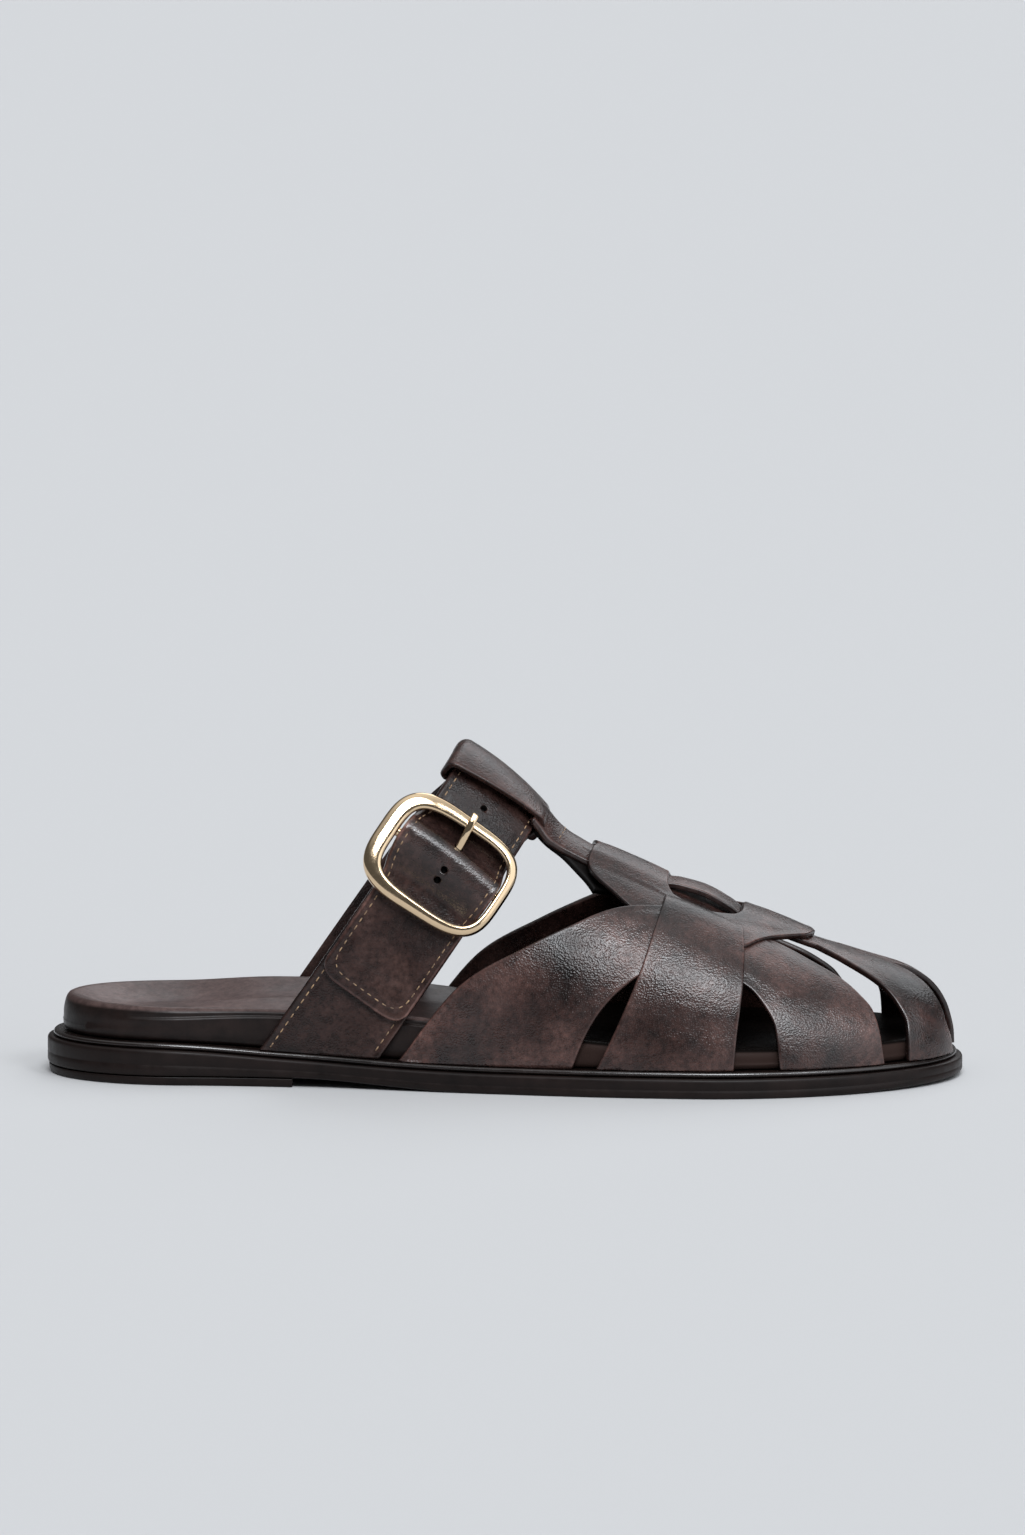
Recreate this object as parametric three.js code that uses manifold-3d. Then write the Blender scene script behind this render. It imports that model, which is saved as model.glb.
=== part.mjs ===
// Open-back fisherman mule, right shoe: woven leather upper, buckled instep strap, footbed and flat sole.
// Millimetres. +X runs to the toe, +Y to the inner side of the foot, +Z up, and the shoe stands on Z = 0.
import * as THREE from "three";
import Module from "manifold-3d";

const wasm = await Module();
wasm.setup();

// Driving dimensions
const LENGTH = 288;              // outsole, heel to toe
const LEATHER = 1.9;             // upper strap thickness
const PITCH = 1.7;               // rise of a strap that lies on another one
const STRAP = 2.6;               // instep strap, two layers sewn together
const BASE_STRAP = 2.0;          // short strap that carries the buckle
const STRAP_WIDTH = 31.4;
const SEAT = 0.3;                // clearance between pieces that rest on each other
const LIFT_HEIGHT = 2.7;         // heel lift
const BREAST_X = -65.5;          // front face of the heel lift
const FLAT_FROM = -8;            // forefoot flat of the outsole
const FLAT_TO = 92;
const TOE_SPRING = 1.2;
const SOLE_TOP_TOE = 6.3;        // outsole upper edge
const SOLE_TOP_HEEL = 11.3;
const RAND_RISE = 1.9;           // rand top above the outsole top
const RAND_INSET = 1.9;
const FOOTBED_INSET = 4.9;
const LAST_INSET = 5.1;          // inside of the upper, at the sole
const ARCH_INSET = 4.6;          // inside of the instep strap, at the sole
const LAST_TIP = LENGTH / 2 - LAST_INSET + 1.7;

// Plan outline before its ends are rounded: half widths on the outer and inner side
const OUTLINE = [
  { x: -144, outer: 31.0, inner: 37.0 },
  { x: -96, outer: 31.0, inner: 37.0 },
  { x: -64, outer: 33.5, inner: 36.5 },
  { x: -33, outer: 39.0, inner: 36.5 },
  { x: 0, outer: 45.0, inner: 40.0 },
  { x: 30, outer: 50.0, inner: 47.0 },
  { x: 50, outer: 52.0, inner: 51.0 },
  { x: 70, outer: 52.9, inner: 53.0 },
  { x: 144, outer: 49.0, inner: 57.0 },
];
const TOE_ROUND = { from: 60, power: 2.1 };
const HEEL_ROUND = { from: -100, power: 2.1 };

// Outsole underside and upper edge along the shoe
const UNDERSIDE = [
  { x: -144, z: LIFT_HEIGHT + SEAT },
  { x: BREAST_X, z: LIFT_HEIGHT + SEAT },
  { x: FLAT_FROM, z: 0 },
  { x: FLAT_TO, z: 0 },
  { x: 144, z: TOE_SPRING },
];
const SOLE_TOP = [
  { x: -144, z: SOLE_TOP_HEEL + 0.2 },
  { x: -110, z: SOLE_TOP_HEEL },
  { x: -68, z: 8.9 },
  { x: -20, z: 6.6 },
  { x: 0, z: SOLE_TOP_TOE },
  { x: 144, z: SOLE_TOP_TOE },
];

// Footbed rim height on both sides, depth of its hollow, how far it draws in under the straps, and how deep
// its rim is rounded
const FOOTBED = [
  { x: -144, outer: 25.0, inner: 25.0, hollow: 4.0, tuck: 0.0, round: 2.0 },
  { x: -105, outer: 24.0, inner: 24.6, hollow: 4.5, tuck: 0.0, round: 1.4 },
  { x: -72, outer: 23.6, inner: 26.4, hollow: 4.0, tuck: 2.5, round: 1.0 },
  { x: -40, outer: 23.2, inner: 26.0, hollow: 3.5, tuck: 2.7, round: 1.0 },
  { x: -20, outer: 21.8, inner: 23.6, hollow: 3.0, tuck: 2.5, round: 1.0 },
  { x: 10, outer: 18.4, inner: 19.2, hollow: 2.0, tuck: 1.6, round: 1.0 },
  { x: 45, outer: 15.6, inner: 15.8, hollow: 1.2, tuck: 1.0, round: 1.0 },
  { x: 85, outer: 14.6, inner: 14.6, hollow: 0.8, tuck: 1.0, round: 1.0 },
  { x: 144, outer: 15.0, inner: 15.0, hollow: 0.8, tuck: 0.8, round: 1.0 },
];

// Height of the last along its ridge, and the fullness of its cross sections
const RIDGE = [
  { x: -60, z: 126.0, power: 1.8 },
  { x: -12, z: 98.5, power: 1.8 },
  { x: 0, z: 90.5, power: 1.8 },
  { x: 11, z: 81.0, power: 1.84 },
  { x: 22, z: 73.5, power: 1.87 },
  { x: 30, z: 69.8, power: 1.9 },
  { x: 51.5, z: 60.3, power: 1.97 },
  { x: 73, z: 51.0, power: 2.03 },
  { x: 97, z: 41.5, power: 2.09 },
  { x: 118, z: 34.8, power: 2.14 },
  { x: 144, z: 28.8, power: 2.2 },
];
const TOE_CAP = { from: 112, along: 3.9, down: 2.2 };

// Straps of the upper. girth 0 is the ridge and 1 is the sole; rear and front are the edges, layer the rise.
// rearIn, frontIn and layerIn are added on the inner side of the foot.
const FRONT_CHEVRON = [
  { girth: 0, rear: 28, front: 50.5, rearIn: 0, frontIn: 0, layer: 1 },
  { girth: 0.12, rear: 26.6, front: 50.5, rearIn: 0, frontIn: 0, layer: 1 },
  { girth: 0.19, rear: 26.2, front: 53, rearIn: 0, frontIn: 0, layer: 0.3 },
  { girth: 0.245, rear: 27.2, front: 86, rearIn: 0, frontIn: -28, layer: 0 },
  { girth: 0.32, rear: 34.7, front: 97.5, rearIn: -1, frontIn: -31.5, layer: 0 },
  { girth: 0.4, rear: 44, front: 105.8, rearIn: -3, frontIn: -30.8, layer: 0 },
  { girth: 0.5, rear: 60, front: 111.4, rearIn: -7, frontIn: -17, layer: 0 },
  { girth: 0.62, rear: 79, front: 115.8, rearIn: -12, frontIn: -12.8, layer: 0 },
  { girth: 0.8, rear: 86, front: 118.2, rearIn: -14, frontIn: -11, layer: 0 },
  { girth: 1, rear: 87.5, front: 119.5, rearIn: -14.5, frontIn: -11, layer: 0 },
];
const REAR_CHEVRON = [
  { girth: 0, rear: 73.5, front: 96.4, rearIn: 0, frontIn: 0, layer: 1.4 },
  { girth: 0.1, rear: 73.5, front: 94, rearIn: 0.6, frontIn: 0.6, layer: 1.3 },
  { girth: 0.16, rear: 72, front: 90, rearIn: 1, frontIn: 1, layer: 1 },
  { girth: 0.24, rear: 62, front: 84, rearIn: 1.4, frontIn: 1.4, layer: 0.7 },
  { girth: 0.32, rear: 49, front: 79.5, rearIn: 1.9, frontIn: 1.9, layer: 0.9 },
  { girth: 0.4, rear: 37, front: 75, rearIn: 2.4, frontIn: 2.4, layer: 1 },
  { girth: 0.53, rear: 22.3, front: 60, rearIn: 3, frontIn: 4, layer: 1 },
  { girth: 0.67, rear: 6, front: 42.6, rearIn: 3, frontIn: 6, layer: 0.8 },
  { girth: 0.8, rear: -12.6, front: 31.9, rearIn: 3, frontIn: 7, layer: 0.3 },
  { girth: 0.9, rear: -23, front: 26.6, rearIn: 3, frontIn: 9, layer: 0 },
  { girth: 1, rear: -32, front: 23, rearIn: 3, frontIn: 8, layer: 0 },
];
const CROSS_STRAP = [
  { girth: 0, rear: 51.2, front: 73.2, layer: -1.1, layerIn: 0 },
  { girth: 0.11, rear: 50.8, front: 72.8, layer: -0.9, layerIn: 0 },
  { girth: 0.17, rear: 50.6, front: 73, layer: -0.6, layerIn: 0 },
  { girth: 0.23, rear: 50.2, front: 73.6, layer: 0.6, layerIn: 0 },
  { girth: 0.3, rear: 49.6, front: 74.2, layer: 1.8, layerIn: 0 },
  { girth: 0.36, rear: 48.9, front: 74.6, layer: 2, layerIn: 0 },
  { girth: 0.47, rear: 47.3, front: 75.2, layer: 2, layerIn: 0 },
  { girth: 0.6, rear: 44.9, front: 75.4, layer: 1.8, layerIn: 0 },
  { girth: 0.72, rear: 41.6, front: 75, layer: 1.1, layerIn: 0.3 },
  { girth: 0.85, rear: 36.8, front: 74.2, layer: 0.2, layerIn: 0.9 },
  { girth: 1, rear: 30.4, front: 73.4, layer: 0, layerIn: 1 },
];
const TOE_FORK = [
  { girth: 0, rear: 90, front: 121.6, rearIn: 0, frontIn: 0, layer: 0 },
  { girth: 0.08, rear: 95.4, front: 127.2, rearIn: 0, frontIn: 0.8, layer: 0 },
  { girth: 0.18, rear: 105.4, front: 132.2, rearIn: 0, frontIn: 1.4, layer: 0 },
  { girth: 0.36, rear: 117.2, front: 136, rearIn: -4, frontIn: 1.4, layer: 0 },
  { girth: 0.53, rear: 123, front: 137.4, rearIn: -8, frontIn: 1.2, layer: 0 },
  { girth: 0.73, rear: 126.3, front: 139, rearIn: -9, frontIn: 0.4, layer: 0 },
  { girth: 1, rear: 126.8, front: 139.6, rearIn: -9, frontIn: 0, layer: 0 },
];

// Spine along the ridge: half width as a share of the girth
const SPINE = [
  { x: 24, half: 0.105, layer: 0 },
  { x: 46, half: 0.105, layer: 0 },
  { x: 50, half: 0.105, layer: 0.2 },
  { x: 54, half: 0.105, layer: 0.9 },
  { x: 62, half: 0.105, layer: 1.5 },
  { x: 70, half: 0.105, layer: 0.9 },
  { x: 74, half: 0.105, layer: 0.2 },
  { x: 78, half: 0.105, layer: 0 },
  { x: 112, half: 0.105, layer: 0 },
];

// Instep strap: its arch leans forward by lean. At the ridge the strap slopes more, and bows across its width
const ARCH = { x: 0.6, z: 94.4, lean: 34.5, ridgeSlope: 40.5, bow: 0.0055, height: 101.5, power: 2.3 };
const ARCH_FAR = [               // shift down the slope on the inner side
  { girth: 0, shift: 0 },
  { girth: 0.12, shift: 0.6 },
  { girth: 0.25, shift: 2.4 },
  { girth: 0.36, shift: 1.6 },
  { girth: 0.48, shift: 0 },
  { girth: 1, shift: 0 },
];
const ARCH_SKIRT = 60;           // straight run below the arch, per unit of girth past 1
const BUCKLE_GIRTH = -0.535;
const TIP_GIRTH = -0.891;
const TIP = { run: 0.04, power: 7 };    // rounding of the free end, as girth and as the power of its curve

// Long strap: lift of its inside off the arch and what its rear edge gains inside the buckle
const LONG_STRAP = [
  { girth: TIP_GIRTH, lift: BASE_STRAP + SEAT, rear: 0 },
  { girth: BUCKLE_GIRTH - 0.19, lift: BASE_STRAP + SEAT, rear: 0 },
  { girth: BUCKLE_GIRTH - 0.1, lift: BASE_STRAP + SEAT, rear: 0.4 },
  { girth: BUCKLE_GIRTH - 0.06, lift: 3.5, rear: 1.4 },
  { girth: BUCKLE_GIRTH - 0.03, lift: 5.2, rear: 2.2 },
  { girth: BUCKLE_GIRTH, lift: 6.5, rear: 3.0 },
  { girth: BUCKLE_GIRTH + 0.025, lift: 6.9, rear: 3.0 },
  { girth: BUCKLE_GIRTH + 0.05, lift: 6.0, rear: 2.7 },
  { girth: BUCKLE_GIRTH + 0.07, lift: 3.9, rear: 2.2 },
  { girth: BUCKLE_GIRTH + 0.09, lift: 1.5, rear: 1.4 },
  { girth: BUCKLE_GIRTH + 0.108, lift: 0.5, rear: 0.6 },
  { girth: BUCKLE_GIRTH + 0.15, lift: 0, rear: 0 },
  { girth: 1, lift: 0, rear: 0 },
];

// Loop of the spine round the instep strap, narrower by taper at its front, and the neck that carries it
const LOOP = {
  girth: 0.238, taper: 0.069, leather: 2.0, corner: 1.2, seat: 0.5, room: 0.9, flare: 2.4, underFlare: 1.4,
};
const NECK = [
  { x: 15.0, z: 82.9, half: 10.4, thick: 2.8 },
  { x: 17.6, z: 79.8, half: 12.2, thick: 2.9 },
  { x: 20.5, z: 77.3, half: 11.6, thick: 3.2 },
  { x: 24.0, z: 75.1, half: 11.2, thick: 3.8 },
  { x: 28.5, z: 72.5, half: 10.8, thick: 3.6 },
  { x: 34.0, z: 69.9, half: 10.4, thick: 1.9 },
];
const NECK_CROWN = 0.03;         // drop across the neck, per square millimetre

// Buckle, in the plane that touches the strap under its centre
const FRAME = { across: 41.4, along: 32.2, drop: 0.6, shift: -1.6, power: 3.6, rise: 6.6, tilt: 4.5 };
const FRAME_SECTION = { rear: 6.0, front: 3.4, depth: 4.4 };   // width at the rear and at the front
const BAR = { radius: 1.5, along: 1, rise: 3.3 };
const FOLD_RADIUS = 2.8;         // short strap folded round the bar
const PRONG_RADIUS = 1.05;
const PRONG_PATH = [
  { along: 3.5, across: -0.4, out: 4.8 },
  { along: 6.0, across: -0.5, out: 6.1 },
  { along: 8.4, across: -0.6, out: 7.2 },
  { along: 11.0, across: -0.9, out: 8.3 },
  { along: 13.5, across: -1.2, out: 8.85 },
  { along: 15.8, across: -1.5, out: 8.95 },
  { along: 18.6, across: -1.9, out: 8.4 },
];

// Value of one column at a station, by a monotone cubic through the rows
function column(rows, key, name, at) {
  const last = rows.length - 1;
  const clamped = Math.min(Math.max(at, rows[0][key]), rows[last][key]);
  let i = 0;
  while (i < last - 1 && clamped > rows[i + 1][key]) {
    i += 1;
  }
  const slope = (k) => (rows[k + 1][name] - rows[k][name]) / (rows[k + 1][key] - rows[k][key]);
  const tangent = (k) => {
    if (k === 0) {
      return slope(0);
    }
    if (k === last) {
      return slope(last - 1);
    }
    const before = slope(k - 1);
    const after = slope(k);
    return before * after <= 0 ? 0 : (2 * before * after) / (before + after);
  };
  const span = rows[i + 1][key] - rows[i][key];
  const t = (clamped - rows[i][key]) / span;
  const u = 1 - t;
  return rows[i][name] * (1 + 2 * t) * u * u + span * tangent(i) * t * u * u
    + rows[i + 1][name] * t * t * (3 - 2 * t) - span * tangent(i + 1) * t * t * u;
}

function blend(from, to, share) {
  return from + (to - from) * share;
}

// Solids from rows of points
function meshFrom(points, faces) {
  const geometry = new THREE.BufferGeometry();
  geometry.setAttribute("position", new THREE.BufferAttribute(new Float32Array(points.flat()), 3));
  geometry.setIndex(faces.flat());
  return geometry;
}

function solidFrom(geometry) {
  const source = geometry.getAttribute("position").array;
  const mesh = new wasm.Mesh({
    numProp: 3,
    vertProperties: new Float32Array(source),
    triVerts: new Uint32Array(geometry.getIndex().array),
  });
  mesh.merge();
  return new wasm.Manifold(mesh);
}

function geometryFrom(solid) {
  const mesh = solid.getMesh();
  const geometry = new THREE.BufferGeometry();
  geometry.setAttribute("position", new THREE.BufferAttribute(new Float32Array(mesh.vertProperties), 3));
  geometry.setIndex(Array.from(mesh.triVerts));
  return geometry;
}

function quad(faces, a, b, c, d) {
  faces.push([a, b, c], [a, c, d]);
}

// Closed sheet between an outer and an inner grid of the same size
function sheet(outer, inner) {
  const rows = outer.length;
  const cols = outer[0].length;
  const points = [...outer.flat(), ...inner.flat()];
  const top = (i, j) => i * cols + j;
  const under = (i, j) => rows * cols + i * cols + j;
  const faces = [];
  for (let i = 0; i < rows - 1; i += 1) {
    for (let j = 0; j < cols - 1; j += 1) {
      quad(faces, top(i, j), top(i, j + 1), top(i + 1, j + 1), top(i + 1, j));
      quad(faces, under(i, j), under(i + 1, j), under(i + 1, j + 1), under(i, j + 1));
    }
    quad(faces, top(i, 0), top(i + 1, 0), under(i + 1, 0), under(i, 0));
    quad(faces, top(i, cols - 1), under(i, cols - 1), under(i + 1, cols - 1), top(i + 1, cols - 1));
  }
  for (let j = 0; j < cols - 1; j += 1) {
    quad(faces, top(0, j), under(0, j), under(0, j + 1), top(0, j + 1));
    quad(faces, top(rows - 1, j), top(rows - 1, j + 1), under(rows - 1, j + 1), under(rows - 1, j));
  }
  return outward(points, faces);
}

// Closed tube: a ring of points per station, with both ends capped or the stations joined in a circle
function tube(rings, circular) {
  const count = rings.length;
  const around = rings[0].length;
  const points = rings.flat();
  const at = (i, j) => (i % count) * around + (j % around);
  const faces = [];
  for (let i = 0; i < (circular ? count : count - 1); i += 1) {
    for (let j = 0; j < around; j += 1) {
      quad(faces, at(i, j), at(i, j + 1), at(i + 1, j + 1), at(i + 1, j));
    }
  }
  if (!circular) {
    for (let j = 1; j < around - 1; j += 1) {
      faces.push([at(0, 0), at(0, j + 1), at(0, j)]);
      faces.push([at(count - 1, 0), at(count - 1, j), at(count - 1, j + 1)]);
    }
  }
  return outward(points, faces);
}

// Faces turned so that they enclose a positive volume
function outward(points, faces) {
  let volume = 0;
  for (const [a, b, c] of faces) {
    const [p, q, r] = [points[a], points[b], points[c]];
    volume += p[0] * (q[1] * r[2] - q[2] * r[1]) - p[1] * (q[0] * r[2] - q[2] * r[0])
      + p[2] * (q[0] * r[1] - q[1] * r[0]);
  }
  const turned = volume < 0 ? faces.map(([a, b, c]) => [a, c, b]) : faces;
  return meshFrom(points, turned);
}

// Plan outline at a distance inside the outsole edge
function endRound(x, inset) {
  const toe = LENGTH / 2 - inset;
  const heel = -LENGTH / 2 + inset;
  const curve = (share, power) => Math.pow(Math.max(0, 1 - Math.pow(share, power)), 1 / power);
  if (x > TOE_ROUND.from) {
    return curve(Math.min(1, (x - TOE_ROUND.from) / (toe - TOE_ROUND.from)), TOE_ROUND.power);
  }
  if (x < HEEL_ROUND.from) {
    return curve(Math.min(1, (x - HEEL_ROUND.from) / (heel - HEEL_ROUND.from)), HEEL_ROUND.power);
  }
  return 1;
}

function planAt(x, inset, tuck) {
  const outer = column(OUTLINE, "x", "outer", x) - inset - tuck;
  const inner = column(OUTLINE, "x", "inner", x) - inset - tuck;
  return { middle: (inner - outer) / 2, half: ((inner + outer) / 2) * endRound(x, inset) };
}

// Stack of rings that follow the outline; each level has an inset and a height at (x, side)
const STATIONS = 32;

function ringStack(levels, tuck) {
  const points = [];
  const rings = levels.map((level) => {
    const reach = LENGTH / 2 - level.inset;
    const ring = { outer: [], inner: [] };
    for (let i = 0; i <= STATIONS; i += 1) {
      const x = -reach * Math.cos((Math.PI * i) / STATIONS);
      const plan = planAt(x, level.inset, tuck ? tuck(x) : 0);
      const tip = i === 0 || i === STATIONS;
      ring.outer.push(points.push([x, plan.middle - plan.half, level.z(x, "outer")]) - 1);
      const innerPoint = [x, plan.middle + plan.half, level.z(x, "inner")];
      ring.inner.push(tip ? ring.outer[i] : points.push(innerPoint) - 1);
    }
    return ring;
  });
  const faces = [];
  const strip = (a, b, c, d) => {
    if (a !== b) {
      faces.push([a, b, c]);
    }
    if (c !== d) {
      faces.push([a, c, d]);
    }
  };
  for (let k = 0; k < rings.length - 1; k += 1) {
    for (let i = 0; i < STATIONS; i += 1) {
      const [low, high] = [rings[k], rings[k + 1]];
      quad(faces, low.outer[i], low.outer[i + 1], high.outer[i + 1], high.outer[i]);
      quad(faces, low.inner[i + 1], low.inner[i], high.inner[i], high.inner[i + 1]);
    }
  }
  const [bottom, top] = [rings[0], rings[rings.length - 1]];
  for (let i = 0; i < STATIONS; i += 1) {
    strip(bottom.outer[i], bottom.inner[i], bottom.inner[i + 1], bottom.outer[i + 1]);
    strip(top.outer[i + 1], top.inner[i + 1], top.inner[i], top.outer[i]);
  }
  return outward(points, faces);
}

const undersideAt = (x) => column(UNDERSIDE, "x", "z", x);
const soleTopAt = (x) => column(SOLE_TOP, "x", "z", x);
const randTopAt = (x) => soleTopAt(x) + RAND_RISE;
const tuckAt = (x) => column(FOOTBED, "x", "tuck", x);

// Sole pieces
function outsole() {
  return ringStack([
    { inset: 0.9, z: undersideAt },
    { inset: 0.25, z: (x) => undersideAt(x) + 0.5 },
    { inset: 0, z: (x) => undersideAt(x) + 1.2 },
    { inset: 0, z: (x) => soleTopAt(x) - 0.9 },
    { inset: 0.5, z: soleTopAt },
  ]);
}

function heelLift() {
  const whole = ringStack([
    { inset: 1.7, z: () => 0 },
    { inset: 0.8, z: () => 0.7 },
    { inset: 0.5, z: () => LIFT_HEIGHT - 0.4 },
    { inset: 0.7, z: () => LIFT_HEIGHT },
  ]);
  const front = new THREE.BoxGeometry(LENGTH, LENGTH, LENGTH).toNonIndexed();
  front.translate(BREAST_X + LENGTH / 2, 0, 0);
  return geometryFrom(solidFrom(whole).subtract(solidFrom(indexed(front))));
}

function indexed(geometry) {
  const count = geometry.getAttribute("position").count;
  geometry.setIndex(Array.from({ length: count }, (unused, i) => i));
  return geometry;
}

function rand() {
  return ringStack([
    { inset: RAND_INSET + 0.7, z: (x) => soleTopAt(x) + SEAT },
    { inset: RAND_INSET, z: (x) => soleTopAt(x) + 0.8 },
    { inset: RAND_INSET, z: (x) => randTopAt(x) - 0.5 },
    { inset: RAND_INSET + 0.25, z: (x) => randTopAt(x) - 0.15 },
    { inset: RAND_INSET + 0.8, z: randTopAt },
  ]);
}

function footbed() {
  const rim = (drop, dish) => (x, side) => {
    const height = column(FOOTBED, "x", side, x);
    const rounding = drop * column(FOOTBED, "x", "round", x);
    return height - rounding - dish * column(FOOTBED, "x", "hollow", x);
  };
  return ringStack([
    { inset: FOOTBED_INSET + 1.2, z: (x) => randTopAt(x) + SEAT },
    { inset: FOOTBED_INSET + 0.2, z: (x) => randTopAt(x) + 1.3 },
    { inset: FOOTBED_INSET, z: (x, side) => blend(randTopAt(x), column(FOOTBED, "x", side, x), 0.5) },
    { inset: FOOTBED_INSET + 0.5, z: rim(1.9, 0) },
    { inset: FOOTBED_INSET + 1.2, z: rim(0.7, 0) },
    { inset: FOOTBED_INSET + 2.4, z: rim(0, 0) },
    { inset: FOOTBED_INSET + 5, z: rim(0, 0.12) },
    { inset: FOOTBED_INSET + 11, z: rim(0, 0.6) },
    { inset: FOOTBED_INSET + 20, z: rim(0, 1) },
  ], tuckAt);
}

// Last: the surface that the inside of the upper follows
function lastPoint(x, girth) {
  const plan = planAt(Math.min(x, LAST_TIP - 0.4), LENGTH / 2 - LAST_TIP, LAST_INSET - LENGTH / 2 + LAST_TIP);
  const floor = randTopAt(x) + SEAT;
  const past = Math.max(0, (x - TOE_CAP.from) / (LAST_TIP - TOE_CAP.from));
  const cap = Math.pow(Math.max(0, 1 - Math.pow(past, TOE_CAP.along)), 1 / TOE_CAP.down);
  const height = (column(RIDGE, "x", "z", x) - floor) * cap;
  const share = 2 / column(RIDGE, "x", "power", x);
  const angle = (girth * Math.PI) / 2;
  const side = Math.sign(girth) * Math.pow(Math.abs(Math.sin(angle)), share);
  const up = Math.pow(Math.max(0, Math.cos(angle)), share);
  return new THREE.Vector3(x, plan.middle + plan.half * side, floor + height * up);
}

function lastNormal(x, girth) {
  const step = 0.004;
  const g = Math.max(-0.97, Math.min(0.97, girth));
  const along = lastPoint(x + step, g).sub(lastPoint(x - step, g));
  const across = lastPoint(x, g + step).sub(lastPoint(x, g - step));
  const normal = along.cross(across).normalize();
  if (Math.abs(girth) > 0.97) {
    normal.z = 0;
    normal.normalize();
  }
  return normal;
}

function onLast(x, girth, rise) {
  return lastPoint(x, girth).addScaledVector(lastNormal(x, girth), rise).toArray();
}

// Strap that runs from sole to sole over the ridge
const GIRTH_STEPS = 32;
const STRAP_COLUMNS = 5;

function girthStrap(rows) {
  const outer = [];
  const inner = [];
  for (let i = 0; i <= GIRTH_STEPS; i += 1) {
    const even = blend(-1, 1, i / GIRTH_STEPS);
    const from = Math.pow(Math.abs(even), 1.35);
    const girth = Math.sign(even) * from;
    const added = (name) => (girth > 0 && name in rows[0] ? column(rows, "girth", name, from) : 0);
    const rear = column(rows, "girth", "rear", from) + added("rearIn");
    const front = column(rows, "girth", "front", from) + added("frontIn");
    const rise = (column(rows, "girth", "layer", from) + added("layerIn")) * PITCH;
    const places = Array.from({ length: STRAP_COLUMNS + 1 }, (unused, j) => j / STRAP_COLUMNS);
    const xs = places.map((share) => blend(rear, front, share));
    outer.push(xs.map((x) => onLast(x, girth, rise + LEATHER)));
    inner.push(xs.map((x) => onLast(x, girth, rise)));
  }
  return solidFrom(sheet(outer, inner));
}

function spine() {
  const outer = [];
  const inner = [];
  const steps = 28;
  for (let i = 0; i <= steps; i += 1) {
    const x = blend(SPINE[0].x, SPINE[SPINE.length - 1].x, i / steps);
    const half = column(SPINE, "x", "half", x);
    const rise = column(SPINE, "x", "layer", x) * PITCH;
    const girths = [-1, -0.5, 0, 0.5, 1].map((share) => share * half);
    outer.push(girths.map((girth) => onLast(x, girth, rise + LEATHER)));
    inner.push(girths.map((girth) => onLast(x, girth, rise)));
  }
  return solidFrom(sheet(outer, inner));
}

// Instep arch: the strap's width runs down its slope, and out leaves the arch
const LEAN = THREE.MathUtils.degToRad(ARCH.lean);
const RISE = new THREE.Vector3(Math.sin(LEAN), 0, Math.cos(LEAN));
const FOOT_X = ARCH.x - ARCH.height * RISE.x;

function archProfile(girth, across) {
  const angle = (Math.max(-1, Math.min(1, girth)) * Math.PI) / 2;
  const share = 2 / ARCH.power;
  const skirt = Math.max(0, Math.abs(girth) - 1) * ARCH_SKIRT;
  const plan = planAt(FOOT_X + across * RISE.z, ARCH_INSET, 0);
  const side = Math.sign(girth) * Math.pow(Math.abs(Math.sin(angle)), share);
  const up = Math.pow(Math.max(0, Math.cos(angle)), share);
  return {
    y: plan.middle * (1 - up) + plan.half * side,
    up: (ARCH.height - STRAP) * (up - 1) - STRAP - skirt,
  };
}

function archFrame(girth, across) {
  const step = 0.004;
  const here = archProfile(girth, across);
  const g = Math.max(-0.985, Math.min(0.985, girth));
  const [before, after] = [archProfile(g - step, across), archProfile(g + step, across)];
  const run = Math.hypot(after.y - before.y, after.up - before.up);
  const [tangentY, tangentUp] = [(after.y - before.y) / run, (after.up - before.up) / run];
  const crest = Math.pow(Math.cos((Math.min(1, Math.abs(girth)) * Math.PI) / 2), 2);
  const slope = THREE.MathUtils.degToRad(blend(ARCH.lean, ARCH.ridgeSlope, crest));
  const width = new THREE.Vector3(Math.cos(slope), 0, -Math.sin(slope));
  const bow = ARCH.bow * crest * across * across;
  const place = (y, up) => RISE.clone().multiplyScalar(up).add(new THREE.Vector3(0, y, 0));
  const origin = place(here.y, here.up - bow).add(new THREE.Vector3(ARCH.x, 0, ARCH.z));
  return {
    origin: origin.addScaledVector(width, across + column(ARCH_FAR, "girth", "shift", girth)),
    out: place(-tangentUp, tangentY),
    along: place(tangentY, tangentUp),
    width,
  };
}

function onArch(girth, across, rise) {
  const frame = archFrame(girth, across);
  return frame.origin.addScaledVector(frame.out, rise);
}

// Where a line of the strap meets the seat on the rand
function archFoot(side, across) {
  let low = 0.8;
  let high = 1.4;
  for (let i = 0; i < 30; i += 1) {
    const middle = (low + high) / 2;
    const point = onArch(side * middle, across, 0);
    if (point.z > randTopAt(point.x) + SEAT) {
      low = middle;
    } else {
      high = middle;
    }
  }
  return side * low;
}

const STRAP_SHARES = [-1, -0.85, -0.4, 0, 0.4, 0.85, 1];

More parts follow.
